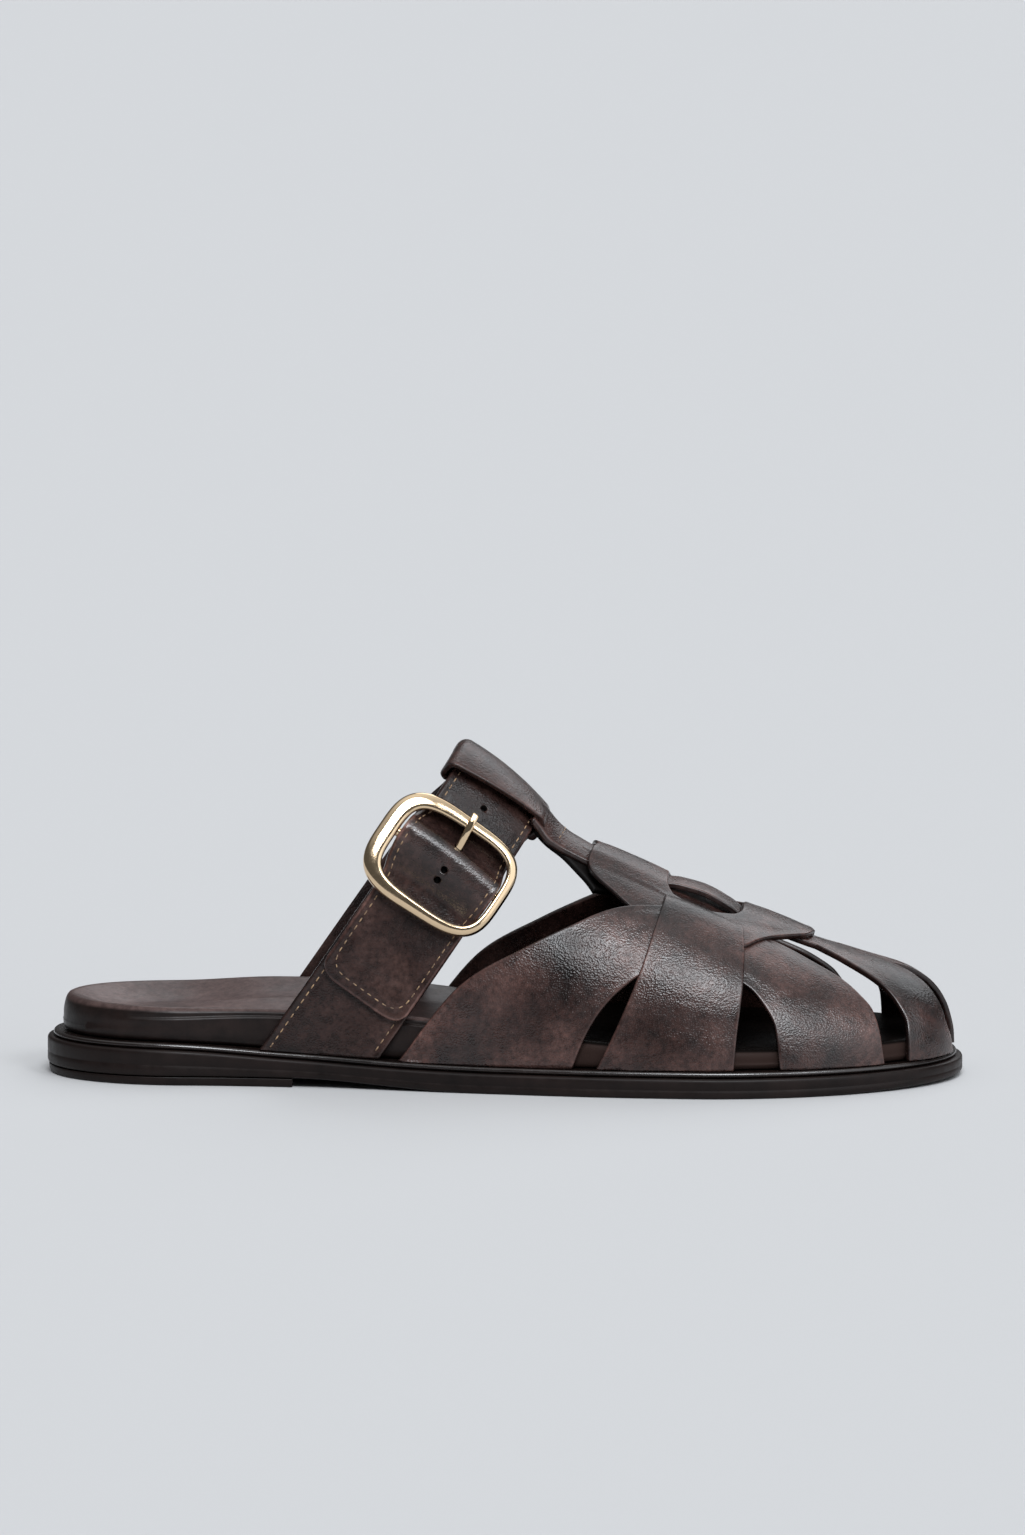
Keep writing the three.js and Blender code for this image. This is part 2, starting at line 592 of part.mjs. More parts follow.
function ankleStrap() {
  const outer = [];
  const inner = [];
  const nearSteps = 20;
  const farSteps = 24;
  const nearEnd = BUCKLE_GIRTH + 0.16;
  for (let i = 0; i <= nearSteps + farSteps; i += 1) {
    const rows = STRAP_SHARES.map((part) => {
      const level = (part * STRAP_WIDTH) / 2;
      const rounding = TIP.run * (1 - Math.sqrt(Math.max(0, 1 - Math.pow(Math.abs(part), TIP.power))));
      const start = TIP_GIRTH + rounding;
      const near = blend(start, nearEnd, i / nearSteps);
      const far = blend(nearEnd, archFoot(1, level), (i - nearSteps) / farSteps);
      const girth = i <= nearSteps ? near : far;
      const lift = column(LONG_STRAP, "girth", "lift", girth);
      const across = level + Math.min(0, part) * column(LONG_STRAP, "girth", "rear", girth);
      return [onArch(girth, across, lift + STRAP).toArray(), onArch(girth, across, lift).toArray()];
    });
    outer.push(rows.map((pair) => pair[0]));
    inner.push(rows.map((pair) => pair[1]));
  }
  return geometryFrom(solidFrom(sheet(outer, inner)).subtract(prongTube(buckleSite(), SEAT)));
}

function buckleStrap() {
  const outer = [];
  const inner = [];
  const steps = 18;
  const half = (STRAP_WIDTH + 0.8) / 2;
  const end = BUCKLE_GIRTH + 0.012;
  for (let i = 0; i <= steps; i += 1) {
    const rows = STRAP_SHARES.map((part) => {
      const across = part * half;
      const girth = blend(archFoot(-1, across), end, i / steps);
      return [onArch(girth, across, BASE_STRAP).toArray(), onArch(girth, across, 0).toArray()];
    });
    outer.push(rows.map((pair) => pair[0]));
    inner.push(rows.map((pair) => pair[1]));
  }
  const site = buckleSite();
  const fold = barTube(site, -half, half, FOLD_RADIUS);
  const room = barTube(site, -half - 1, half + 1, BAR.radius + SEAT);
  const folded = solidFrom(sheet(outer, inner)).add(fold);
  return geometryFrom(folded.subtract(room).subtract(prongTube(site, SEAT)));
}

// Buckle pieces, placed on the strap under the buckle's centre
function buckleSite() {
  const origin = onArch(BUCKLE_GIRTH, 0, 0);
  const { along } = archFrame(BUCKLE_GIRTH, 0);
  const reach = STRAP_WIDTH / 2;
  const width = onArch(BUCKLE_GIRTH, reach, 0).sub(onArch(BUCKLE_GIRTH, -reach, 0));
  width.addScaledVector(along, -width.dot(along)).normalize();
  const out = width.clone().cross(along).normalize();
  return {
    at: (across, up, rise) => origin.clone()
      .addScaledVector(width, across).addScaledVector(along, up).addScaledVector(out, rise),
  };
}

function barTube(site, from, to, radius) {
  const sides = 12;
  const rings = [from, to].map((across) => Array.from({ length: sides }, (unused, k) => {
    const turn = (2 * Math.PI * k) / sides;
    return site.at(across, BAR.along + radius * Math.cos(turn), BAR.rise + radius * Math.sin(turn)).toArray();
  }));
  return solidFrom(tube(rings, false));
}

function frameRing(site) {
  const steps = 32;
  const rounded = (value) => Math.sign(value) * Math.pow(Math.abs(value), 2 / FRAME.power);
  const corner = (k) => {
    const turn = (2 * Math.PI * (k + 0.5)) / steps;
    const even = turn + 0.2 * Math.sin(4 * turn);
    return [(FRAME.across / 2) * rounded(Math.cos(even)), (FRAME.along / 2) * rounded(Math.sin(even))];
  };
  const path = Array.from({ length: steps }, (unused, k) => {
    const [before, here, after] = [corner(k - 1), corner(k), corner(k + 1)];
    const run = Math.hypot(after[0] - before[0], after[1] - before[1]);
    return {
      across: FRAME.shift + here[0],
      along: here[1] - FRAME.drop,
      width: blend(FRAME_SECTION.front, FRAME_SECTION.rear, Math.pow(0.5 - here[0] / FRAME.across, 2)),
      outX: (after[1] - before[1]) / run,
      outY: -(after[0] - before[0]) / run,
    };
  });
  const sides = 10;
  const lean = Math.tan(THREE.MathUtils.degToRad(FRAME.tilt));
  const rings = path.map((p) => Array.from({ length: sides }, (unused, k) => {
    const turn = (2 * Math.PI * k) / sides;
    const wide = (p.width / 2) * Math.cos(turn);
    const deep = (FRAME_SECTION.depth / 2) * Math.sin(turn);
    const along = p.along + p.outY * wide;
    return site.at(p.across + p.outX * wide, along, FRAME.rise + deep - along * lean).toArray();
  }));
  return solidFrom(tube(rings, true));
}

function buckleBody() {
  const site = buckleSite();
  const reach = FRAME.across / 2;
  const bar = barTube(site, FRAME.shift - reach, FRAME.shift + reach, BAR.radius);
  return geometryFrom(frameRing(site).add(bar));
}

// Prong, or with grow the room that it needs in the straps
function prongTube(site, grow) {
  const sides = 10;
  const rings = PRONG_PATH.map((p, i) => {
    const before = PRONG_PATH[Math.max(0, i - 1)];
    const after = PRONG_PATH[Math.min(PRONG_PATH.length - 1, i + 1)];
    const run = Math.hypot(after.along - before.along, after.out - before.out);
    const [dirAlong, dirOut] = [(after.along - before.along) / run, (after.out - before.out) / run];
    const back = i === 0 ? 2 * grow : 0;
    return Array.from({ length: sides }, (unused, k) => {
      const turn = (2 * Math.PI * k) / sides;
      const side = p.across + (PRONG_RADIUS + grow) * Math.cos(turn);
      const up = (PRONG_RADIUS + grow) * Math.sin(turn);
      const along = p.along - dirAlong * back - dirOut * up;
      return site.at(side, along, p.out - dirOut * back + dirAlong * up).toArray();
    });
  });
  return solidFrom(tube(rings, false));
}

// Spine's loop round the instep strap: a closed band that follows the arch across the foot
function spineLoop() {
  const reach = STRAP_WIDTH / 2 + LOOP.room;
  const cornerSteps = 3;
  const outline = (grow) => {
    const corner = LOOP.corner + grow;
    const sides = [
      { across: reach - LOOP.corner, up: LOOP.seat + STRAP - LOOP.corner, start: 0 },
      { across: -reach + LOOP.corner, up: LOOP.seat + STRAP - LOOP.corner, start: 90 },
      { across: -reach + LOOP.corner, up: -LOOP.seat + LOOP.corner, start: 180 },
      { across: reach - LOOP.corner, up: -LOOP.seat + LOOP.corner, start: 270 },
    ];
    const bend = (side) => Array.from({ length: cornerSteps + 1 }, (unused, k) => {
      const turn = THREE.MathUtils.degToRad(side.start + (90 * k) / cornerSteps);
      return { across: side.across + corner * Math.cos(turn), up: side.up + corner * Math.sin(turn) };
    });
    const runShares = [0.7, 0.35, 0, -0.35, -0.7];
    const run = (sign, up) => runShares.map((share) => ({ across: sign * share * reach, up }));
    const [frontTop, rearTop, rearUnder, frontUnder] = sides.map(bend);
    const topRun = run(1, LOOP.seat + STRAP + grow);
    const underRun = run(-1, -LOOP.seat - grow);
    return [...frontTop, ...topRun, ...rearTop, ...rearUnder, ...underRun, ...frontUnder];
  };
  const outerPath = outline(LOOP.leather);
  const innerPath = outline(0);
  const shares = [-1, -0.75, -0.5, -0.25, 0, 0.25, 0.5, 0.75, 1];
  const place = (p, share) => {
    const high = Math.min(1, Math.max(0, (p.up + LOOP.seat) / (STRAP + 2 * LOOP.seat)));
    const spread = blend(-LOOP.underFlare, LOOP.flare, high) * share * share;
    const forward = Math.min(1, Math.max(0, (p.across + reach) / (2 * reach)));
    const half = LOOP.girth - LOOP.taper * Math.pow(forward, 1.5);
    return onArch(share * half, p.across, p.up + spread).toArray();
  };
  const rings = outerPath.map((unused, k) => [
    ...shares.map((share) => place(outerPath[k], share)),
    ...shares.slice().reverse().map((share) => place(innerPath[k], share)),
  ]);
  return solidFrom(tube(rings, true));
}

function spineNeck() {
  const shares = [-1, -0.5, 0, 0.5, 1];
  const outer = [];
  const inner = [];
  NECK.forEach((row, i) => {
    const before = NECK[Math.max(0, i - 1)];
    const after = NECK[Math.min(NECK.length - 1, i + 1)];
    const run = Math.hypot(after.x - before.x, after.z - before.z);
    const [nx, nz] = [-(after.z - before.z) / run, (after.x - before.x) / run];
    const place = (share, depth) => {
      const y = share * row.half;
      const drop = NECK_CROWN * y * y + depth;
      return [row.x - nx * drop, lastPoint(row.x, 0).y + y, row.z - nz * drop];
    };
    outer.push(shares.map((share) => place(share, 0)));
    inner.push(shares.map((share) => place(share, row.thick)));
  });
  return solidFrom(sheet(outer, inner));
}

function upper() {
  const straps = [REAR_CHEVRON, FRONT_CHEVRON, CROSS_STRAP, TOE_FORK].map(girthStrap);
  const pieces = [...straps, spine(), spineNeck(), spineLoop()];
  return geometryFrom(pieces.reduce((whole, piece) => whole.add(piece)));
}

// Materials
const MATERIALS = {
  leather: { color: 0x443432, roughness: 0.46, metalness: 0 },
  footbedLeather: { color: 0x57453f, roughness: 0.5, metalness: 0 },
  rubber: { color: 0x241f1e, roughness: 0.62, metalness: 0 },
  gold: { color: 0xc8a878, roughness: 0.18, metalness: 1 },
};

function named(name, geometry, kind) {
  const flat = geometry.getIndex() ? geometry.toNonIndexed() : geometry;
  flat.computeVertexNormals();
  const mesh = new THREE.Mesh(flat, new THREE.MeshStandardMaterial(MATERIALS[kind]));
  mesh.name = name;
  return mesh;
}

const shoe = new THREE.Group();
shoe.name = "fisherman_mule";
shoe.add(named("heel_lift", heelLift(), "rubber"));
shoe.add(named("outsole", outsole(), "rubber"));
shoe.add(named("rand", rand(), "rubber"));
shoe.add(named("footbed", footbed(), "footbedLeather"));
shoe.add(named("upper", upper(), "leather"));
shoe.add(named("ankle_strap", ankleStrap(), "leather"));
shoe.add(named("buckle_strap", buckleStrap(), "leather"));
shoe.add(named("buckle_frame", buckleBody(), "gold"));
shoe.add(named("buckle_prong", geometryFrom(prongTube(buckleSite(), 0)), "gold"));

export default shoe;
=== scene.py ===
import math

import bpy
import numpy as np
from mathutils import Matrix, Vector


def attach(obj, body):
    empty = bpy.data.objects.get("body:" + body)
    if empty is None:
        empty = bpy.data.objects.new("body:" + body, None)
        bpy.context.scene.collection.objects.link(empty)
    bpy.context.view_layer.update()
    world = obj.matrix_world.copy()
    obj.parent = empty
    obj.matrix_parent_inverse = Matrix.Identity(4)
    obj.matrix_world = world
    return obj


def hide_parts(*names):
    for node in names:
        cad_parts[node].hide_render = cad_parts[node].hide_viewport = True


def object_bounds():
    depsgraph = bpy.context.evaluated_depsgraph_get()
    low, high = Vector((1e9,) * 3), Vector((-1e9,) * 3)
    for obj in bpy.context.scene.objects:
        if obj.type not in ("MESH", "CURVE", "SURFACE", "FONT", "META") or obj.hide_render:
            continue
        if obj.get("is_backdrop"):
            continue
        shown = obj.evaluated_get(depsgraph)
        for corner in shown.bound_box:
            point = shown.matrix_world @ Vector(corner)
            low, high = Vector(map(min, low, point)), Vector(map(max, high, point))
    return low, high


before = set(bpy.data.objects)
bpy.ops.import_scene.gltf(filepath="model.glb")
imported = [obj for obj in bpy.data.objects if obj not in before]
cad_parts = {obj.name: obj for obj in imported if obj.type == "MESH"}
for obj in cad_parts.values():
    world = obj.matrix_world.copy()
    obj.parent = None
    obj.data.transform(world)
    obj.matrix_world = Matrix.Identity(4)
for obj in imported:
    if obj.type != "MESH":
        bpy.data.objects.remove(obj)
cad_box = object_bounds()

# Fisherman mule, right shoe, dressed over its solids. Sizes are in millimetres until a mesh is made.
MM = 0.001


# Tables with named columns
def table(names, *rows):
    return dict(zip(names.split(), np.array(rows, float).T))


def rows_of(columns):
    return zip(*columns.values())


# Points from their coordinates, and lists end to end
def stack(*parts):
    return np.stack(parts, -1)


def chain(*parts):
    return np.concatenate(parts)


# Driving dimensions, the same as the solids have
LENGTH = 288.0
LEATHER = 1.9
PITCH = 1.7
STRAP = 2.6
BASE_STRAP = 2.0
STRAP_WIDTH = 31.4
BASE_WIDTH = STRAP_WIDTH + 0.8
SEAT = 0.3
LIFT_HEIGHT = 2.7
BREAST_X = -65.5
FLAT_FROM = -8.0
FLAT_TO = 92.0
TOE_SPRING = 1.2
SOLE_TOP_TOE = 6.3
SOLE_TOP_HEEL = 11.3
RAND_RISE = 1.9
RAND_INSET = 1.9
FOOTBED_INSET = 4.9
LAST_INSET = 5.1
ARCH_INSET = 4.6
LAST_TIP, LAST_TIP_MARGIN = LENGTH / 2 - LAST_INSET + 1.7, 0.4

OUTLINE = table(
    "x outer inner",
    (-144, 31, 37), (-96, 31, 37), (-64, 33.5, 36.5), (-33, 39, 36.5), (0, 45, 40),
    (30, 50, 47), (50, 52, 51), (70, 52.9, 53), (144, 49, 57),
)
TOE_ROUND = (60.0, 2.1)
HEEL_ROUND = (-100.0, 2.1)
UNDERSIDE = table(
    "x z",
    (-144, LIFT_HEIGHT + SEAT), (BREAST_X, LIFT_HEIGHT + SEAT),
    (FLAT_FROM, 0), (FLAT_TO, 0), (144, TOE_SPRING),
)
SOLE_TOP = table(
    "x z",
    (-144, SOLE_TOP_HEEL + 0.2), (-110, SOLE_TOP_HEEL), (-68, 8.9), (-20, 6.6),
    (0, SOLE_TOP_TOE), (144, SOLE_TOP_TOE),
)
FOOTBED = table(
    "x outer inner hollow tuck round",
    (-144, 25, 25, 4, 0, 2), (-105, 24, 24.6, 4.5, 0, 1.4), (-72, 23.6, 26.4, 4, 2.5, 1),
    (-40, 23.2, 26, 3.5, 2.7, 1), (-20, 21.8, 23.6, 3, 2.5, 1), (10, 18.4, 19.2, 2, 1.6, 1),
    (45, 15.6, 15.8, 1.2, 1, 1), (85, 14.6, 14.6, 0.8, 1, 1), (144, 15, 15, 0.8, 0.8, 1),
)
RIDGE = table(
    "x z power",
    (-60, 126, 1.8), (-12, 98.5, 1.8), (0, 90.5, 1.8), (11, 81, 1.84), (22, 73.5, 1.87), (30, 69.8, 1.9),
    (51.5, 60.3, 1.97), (73, 51, 2.03), (97, 41.5, 2.09), (118, 34.8, 2.14), (144, 28.8, 2.2),
)
TOE_CAP_FROM, TOE_CAP_ALONG, TOE_CAP_DOWN = 112.0, 3.9, 2.2

# Straps of the upper: girth 0 is the ridge and 1 the sole; the _in columns are added on the inner side
FRONT_CHEVRON = table(
    "girth rear front layer rear_in front_in",
    (0, 28, 50.5, 1, 0, 0), (0.12, 26.6, 50.5, 1, 0, 0), (0.19, 26.2, 53, 0.3, 0, 0),
    (0.245, 27.2, 86, 0, 0, -28), (0.32, 34.7, 97.5, 0, -1, -31.5), (0.4, 44, 105.8, 0, -3, -30.8),
    (0.5, 60, 111.4, 0, -7, -17), (0.62, 79, 115.8, 0, -12, -12.8), (0.8, 86, 118.2, 0, -14, -11),
    (1, 87.5, 119.5, 0, -14.5, -11),
)
REAR_CHEVRON = table(
    "girth rear front layer rear_in front_in",
    (0, 73.5, 96.4, 1.4, 0, 0), (0.1, 73.5, 94, 1.3, 0.6, 0.6), (0.16, 72, 90, 1, 1, 1),
    (0.24, 62, 84, 0.7, 1.4, 1.4), (0.32, 49, 79.5, 0.9, 1.9, 1.9), (0.4, 37, 75, 1, 2.4, 2.4),
    (0.53, 22.3, 60, 1, 3, 4), (0.67, 6, 42.6, 0.8, 3, 6), (0.8, -12.6, 31.9, 0.3, 3, 7),
    (0.9, -23, 26.6, 0, 3, 9), (1, -32, 23, 0, 3, 8),
)
CROSS_STRAP = table(
    "girth rear front layer layer_in",
    (0, 51.2, 73.2, -1.1, 0), (0.11, 50.8, 72.8, -0.9, 0), (0.17, 50.6, 73, -0.6, 0),
    (0.23, 50.2, 73.6, 0.6, 0), (0.3, 49.6, 74.2, 1.8, 0), (0.36, 48.9, 74.6, 2, 0),
    (0.47, 47.3, 75.2, 2, 0), (0.6, 44.9, 75.4, 1.8, 0), (0.72, 41.6, 75, 1.1, 0.3),
    (0.85, 36.8, 74.2, 0.2, 0.9), (1, 30.4, 73.4, 0, 1),
)
TOE_FORK = table(
    "girth rear front layer rear_in front_in",
    (0, 90, 121.6, 0, 0, 0), (0.08, 95.4, 127.2, 0, 0, 0.8), (0.18, 105.4, 132.2, 0, 0, 1.4),
    (0.36, 117.2, 136, 0, -4, 1.4), (0.53, 123, 137.4, 0, -8, 1.2), (0.73, 126.3, 139, 0, -9, 0.4),
    (1, 126.8, 139.6, 0, -9, 0),
)
SPINE = table(
    "x layer",
    (24, 0), (46, 0), (50, 0.2), (54, 0.9), (62, 1.5), (70, 0.9), (74, 0.2), (78, 0), (112, 0),
)
SPINE_HALF = 0.105

# Instep strap
ARCH_X, ARCH_Z, ARCH_HEIGHT, ARCH_POWER = 0.6, 94.4, 101.5, 2.3
ARCH_LEAN, ARCH_RIDGE_SLOPE = math.radians(34.5), math.radians(40.5)
ARCH_BOW = 0.0055
ARCH_SKIRT = 60.0
ARCH_FAR = table("girth shift", (0, 0), (0.12, 0.6), (0.25, 2.4), (0.36, 1.6), (0.48, 0), (1, 0))
BUCKLE_GIRTH = -0.535
TIP_GIRTH = -0.891
TIP_RUN = 0.04
TIP_POWER = 7.0
TIP_GIRTH_MM = 115.0  # length of the unit of girth near the tip
FOOT_GIRTHS = (0.8, 1.4)  # the strap's feet lie between these

# Lift of the instep strap over the buckle's bar, and how far its edges spread inside the frame
STRAP_LIFT = table(
    "girth lift rear front",
    (TIP_GIRTH, BASE_STRAP + SEAT, 0, 0),
    (BUCKLE_GIRTH - 0.19, BASE_STRAP + SEAT, 0, 0),
    (BUCKLE_GIRTH - 0.1, BASE_STRAP + SEAT, 0.8, 0.3),
    (BUCKLE_GIRTH - 0.06, 3.5, 2.3, 0.9),
    (BUCKLE_GIRTH - 0.03, 5.2, 3.0, 1.1),
    (BUCKLE_GIRTH, 6.5, 3.4, 1.1),
    (BUCKLE_GIRTH + 0.025, 6.9, 3.4, 1.1),
    (BUCKLE_GIRTH + 0.05, 6.0, 3.2, 1.1),
    (BUCKLE_GIRTH + 0.07, 3.9, 2.8, 0.9),
    (BUCKLE_GIRTH + 0.09, 1.5, 2.0, 0.5),
    (BUCKLE_GIRTH + 0.108, 0.5, 1.0, 0.2),
    (BUCKLE_GIRTH + 0.15, 0, 0, 0),
    (1, 0, 0, 0),
)

# Loop and neck of the spine
LOOP_GIRTH, LOOP_TAPER, LOOP_FLARE, LOOP_UNDER_FLARE = 0.238, 0.069, 2.4, 1.4
LOOP_LEATHER, LOOP_CORNER, LOOP_SEAT, LOOP_ROOM = 2.0, 1.2, 0.5, 0.9
LOOP_STRAIGHT = 0.86  # straight share of the loop's long sides
LOOP_TAPER_POWER = 1.5
NECK = table(
    "x z half lining",
    (12.6, 86.2, 12, 11), (15, 82.9, 11.8, 10.8), (17.6, 79.8, 12.2, 10.8), (20.5, 77.3, 11.6, 10.6),
    (24, 75.1, 11.2, 11.6), (28.5, 72.5, 10.8, 13.6), (34, 69.9, 10.4, 17),
)
NECK_CROWN = 0.03
NECK_LINING_X = (15, 33)
NECK_SEAM_X, NECK_SEAM_HALF = 19.2, 9.4

# Buckle
FRAME_ACROSS, FRAME_ALONG, FRAME_POWER = 41.4, 32.2, 3.6
FRAME_SHIFT, FRAME_DROP = -1.6, 0.6
FRAME_REAR_WIDTH, FRAME_FRONT_WIDTH, FRAME_DEPTH = 6.0, 3.4, 4.4
FRAME_RISE, FRAME_TILT = 6.6, math.radians(4.5)
FRAME_BEVEL = 0.22  # front face falls outward by this share of its depth
BAR_RADIUS, BAR_ALONG, BAR_RISE = 1.5, 1.0, 3.3
FOLD_RADIUS = 2.8  # short strap folded round the bar
BASE_END = BUCKLE_GIRTH + 0.012  # girth at which the short strap meets its fold
METAL_POWER = 3  # squareness of the frame's and the prong's sections
PRONG_HALF_WIDTH, PRONG_HALF_DEPTH, PRONG_END = 1.2, 0.95, 0.8
PRONG_PATH = table(
    "along across out",
    (3.5, -0.4, 4.8), (6, -0.5, 6.1), (8.4, -0.6, 7.2), (11, -0.9, 8.3), (13.5, -1.2, 8.85),
    (15.8, -1.5, 8.95), (18.6, -1.9, 8.4),
)

# Finish details
EDGE_ROUND = 0.6  # rounding of a cut leather edge
STRAP_ROUND = 1.0  # rounding of the instep strap, whose edges are turned
UNDER_ROUND, UNDER_REACH = 0.3, 0.34
EDGE_STEPS = np.array([0, 0.05, 0.16, 0.34, 0.6, 1.0, 1.6, 2.4])
FAR_FROM_EDGE = 5.0  # edge distance of faces that show no edge tone or painted rim highlight
CROWN_REACH, WAVE_REACH, WRINKLE_REACH = 6, 3, 1.5  # relief is full at this distance from an edge
STITCH_INSET, STITCH_PITCH, STITCH_LENGTH, STITCH_RADIUS = 2.3, 2.8, 1.9, 0.21
STITCH_SINK = 0.12  # how deep a row of stitches sits in the leather
TROUGH_DEPTH, TROUGH_WIDTH = 0.22, 0.8
HOLE_RADIUS, HOLE_FROM, HOLE_TO = 1.1, 0.4, STRAP + 3


# Value of one column by a monotone cubic over the table's first column
def column(rows, name, at):
    xs, ys = next(iter(rows.values())), rows[name]
    at = np.clip(at, xs[0], xs[-1])
    slope = np.diff(ys) / np.diff(xs)
    before, after = slope[:-1], slope[1:]
    total = np.where(before + after == 0, 1, before + after)
    inside = np.where(before * after <= 0, 0, 2 * before * after / total)
    tangent = chain(slope[:1], inside, slope[-1:])
    i = np.clip(np.searchsorted(xs, at) - 1, 0, len(xs) - 2)
    span = xs[i + 1] - xs[i]
    t = (at - xs[i]) / span
    u = 1 - t
    start = ys[i] * (1 + 2 * t) * u * u + span * tangent[i] * t * u * u
    return start + ys[i + 1] * t * t * (3 - 2 * t) - span * tangent[i + 1] * t * t * u


def blend(start, end, share):
    return start + (end - start) * share


def bump(distance, width):
    return np.exp(-(distance / width) ** 2)


def unit(vectors):
    return vectors / np.linalg.norm(vectors, axis=-1, keepdims=True)


def arc_length(points):
    steps = np.linalg.norm(np.diff(points, axis=0), axis=-1)
    return chain(np.zeros_like(steps[:1]), np.cumsum(steps, 0))


def curve_at(curve, arc, at):
    return stack(*(np.interp(at, arc, curve[:, k]) for k in (0, 1)))


def circle_turns(count):
    return np.linspace(0, 2 * np.pi, count + 1)[:-1]


# Plan outline at a distance inside the outsole edge
def end_round(x, inset):
    toe_from, toe_power = TOE_ROUND
    heel_from, heel_power = HEEL_ROUND
    reach = LENGTH / 2 - inset
    toe = np.clip((x - toe_from) / (reach - toe_from), 0, 1)
    heel = np.clip((x - heel_from) / (-reach - heel_from), 0, 1)
    toe_curve = np.maximum(0, 1 - toe ** toe_power) ** (1 / toe_power)
    return toe_curve * np.maximum(0, 1 - heel ** heel_power) ** (1 / heel_power)


def plan_at(x, inset, tuck=0):
    outer = column(OUTLINE, "outer", x) - inset - tuck
    inner = column(OUTLINE, "inner", x) - inset - tuck
    return (inner - outer) / 2, (inner + outer) / 2 * end_round(x, inset)


def underside_at(x):
    return column(UNDERSIDE, "z", x)


def sole_top_at(x):
    return column(SOLE_TOP, "z", x)


def rand_top_at(x):
    return sole_top_at(x) + RAND_RISE


# Half of an oval over the foot: share to the side and share of the height
def oval(girth, power):
    angle, share = girth * math.pi / 2, 2 / power
    return np.sign(girth) * np.abs(np.sin(angle)) ** share, np.maximum(0, np.cos(angle)) ** share


# Last: the surface that the inside of the upper follows
def last_point(x, girth):
    tip_inset = LENGTH / 2 - LAST_TIP
    middle, half = plan_at(np.minimum(x, LAST_TIP - LAST_TIP_MARGIN), tip_inset, LAST_INSET - tip_inset)
    seat = rand_top_at(x) + SEAT
    past = np.clip((x - TOE_CAP_FROM) / (LAST_TIP - TOE_CAP_FROM), 0, 1)
    cap = (1 - past ** TOE_CAP_ALONG) ** (1 / TOE_CAP_DOWN)
    height = (column(RIDGE, "z", x) - seat) * cap
    side, up = oval(girth, column(RIDGE, "power", x))
    return stack(x + 0 * girth, middle + half * side, seat + height * up)


def last_normal(x, girth):
    step, limit = 0.004, 0.97
    g = np.clip(girth, -limit, limit)
    along = last_point(x + step, g) - last_point(x - step, g)
    across = last_point(x, g + step) - last_point(x, g - step)
    normal = unit(np.cross(along, across))
    low = np.abs(girth) > limit
    normal[..., 2] = np.where(low, 0, normal[..., 2])
    return unit(normal)


def on_last(grid, rise):
    x, girth = grid[..., 0], grid[..., 1]
    return last_point(x, girth) + last_normal(x, girth) * np.asarray(rise)[..., None]


# Instep arch: girth runs over the foot, across runs down the strap's slope
RISE_X, RISE_Z = math.sin(ARCH_LEAN), math.cos(ARCH_LEAN)


def arch_profile(girth, across):
    skirt = np.maximum(0, np.abs(girth) - 1) * ARCH_SKIRT
    middle, half = plan_at(ARCH_X - ARCH_HEIGHT * RISE_X + across * RISE_Z, ARCH_INSET)
    side, up = oval(np.clip(girth, -1, 1), ARCH_POWER)
    return middle * (1 - up) + half * side, (ARCH_HEIGHT - STRAP) * (up - 1) - STRAP - skirt


def arch_frame(girth, across):
    step, limit = 0.004, 0.985
    y, up = arch_profile(girth, across)
    g = np.clip(girth, -limit, limit)
    y0, up0 = arch_profile(g - step, across)
    y1, up1 = arch_profile(g + step, across)
    run = np.hypot(y1 - y0, up1 - up0)
    tangent_y, tangent_up = (y1 - y0) / run, (up1 - up0) / run
    crest = np.cos(np.minimum(1, np.abs(girth)) * math.pi / 2) ** 2
    slope = blend(ARCH_LEAN, ARCH_RIDGE_SLOPE, crest)
    height = up - ARCH_BOW * crest * across * across
    down = across + column(ARCH_FAR, "shift", girth)
    origin = stack(
        ARCH_X + RISE_X * height + np.cos(slope) * down,
        y,
        ARCH_Z + RISE_Z * height - np.sin(slope) * down,
    )
    out = stack(RISE_X * tangent_y, -tangent_up, RISE_Z * tangent_y)
    along = stack(RISE_X * tangent_up, tangent_y, RISE_Z * tangent_up)
    return origin, out, along


def on_arch(grid, rise):
    origin, out, along = arch_frame(grid[..., 0], grid[..., 1])
    return origin + out * np.asarray(rise)[..., None]


# Girth at which a line of the instep strap meets the seat on the rand
def arch_foot(side, across):
    halvings = 30
    low, high = (np.full_like(across, girth) for girth in FOOT_GIRTHS)
    for _ in range(halvings):
        middle = (low + high) / 2
        point = on_arch(stack(side * middle, across), 0 * across)
        above = point[..., 2] > rand_top_at(point[..., 0]) + SEAT
        low = np.where(above, middle, low)
        high = np.where(above, high, middle)
    return side * low


# Meshes
def add_mesh(name, material, points, faces, edge=None, painted_shading=None, sharp=None):
    mesh = bpy.data.meshes.new(name)
    mesh.from_pydata((np.asarray(points, float) * MM).tolist(), [], faces)
    mesh.polygons.foreach_set("use_smooth", [True] * len(mesh.polygons))
    if sharp:
        mesh.set_sharp_from_angle(angle=math.radians(sharp))
    for label, values in (("edge", edge), ("painted_shading", painted_shading)):
        if values is not None:
            layer = mesh.attributes.new(label, "FLOAT", "POINT")
            layer.data.foreach_set("value", np.asarray(values, np.float32))
    mesh.materials.append(material)
    obj = bpy.data.objects.new(name, mesh)
    bpy.context.scene.collection.objects.link(obj)
    return obj


def dress(obj, slot, *nodes):
    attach(obj, "root")
    if nodes:
        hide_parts(*nodes)


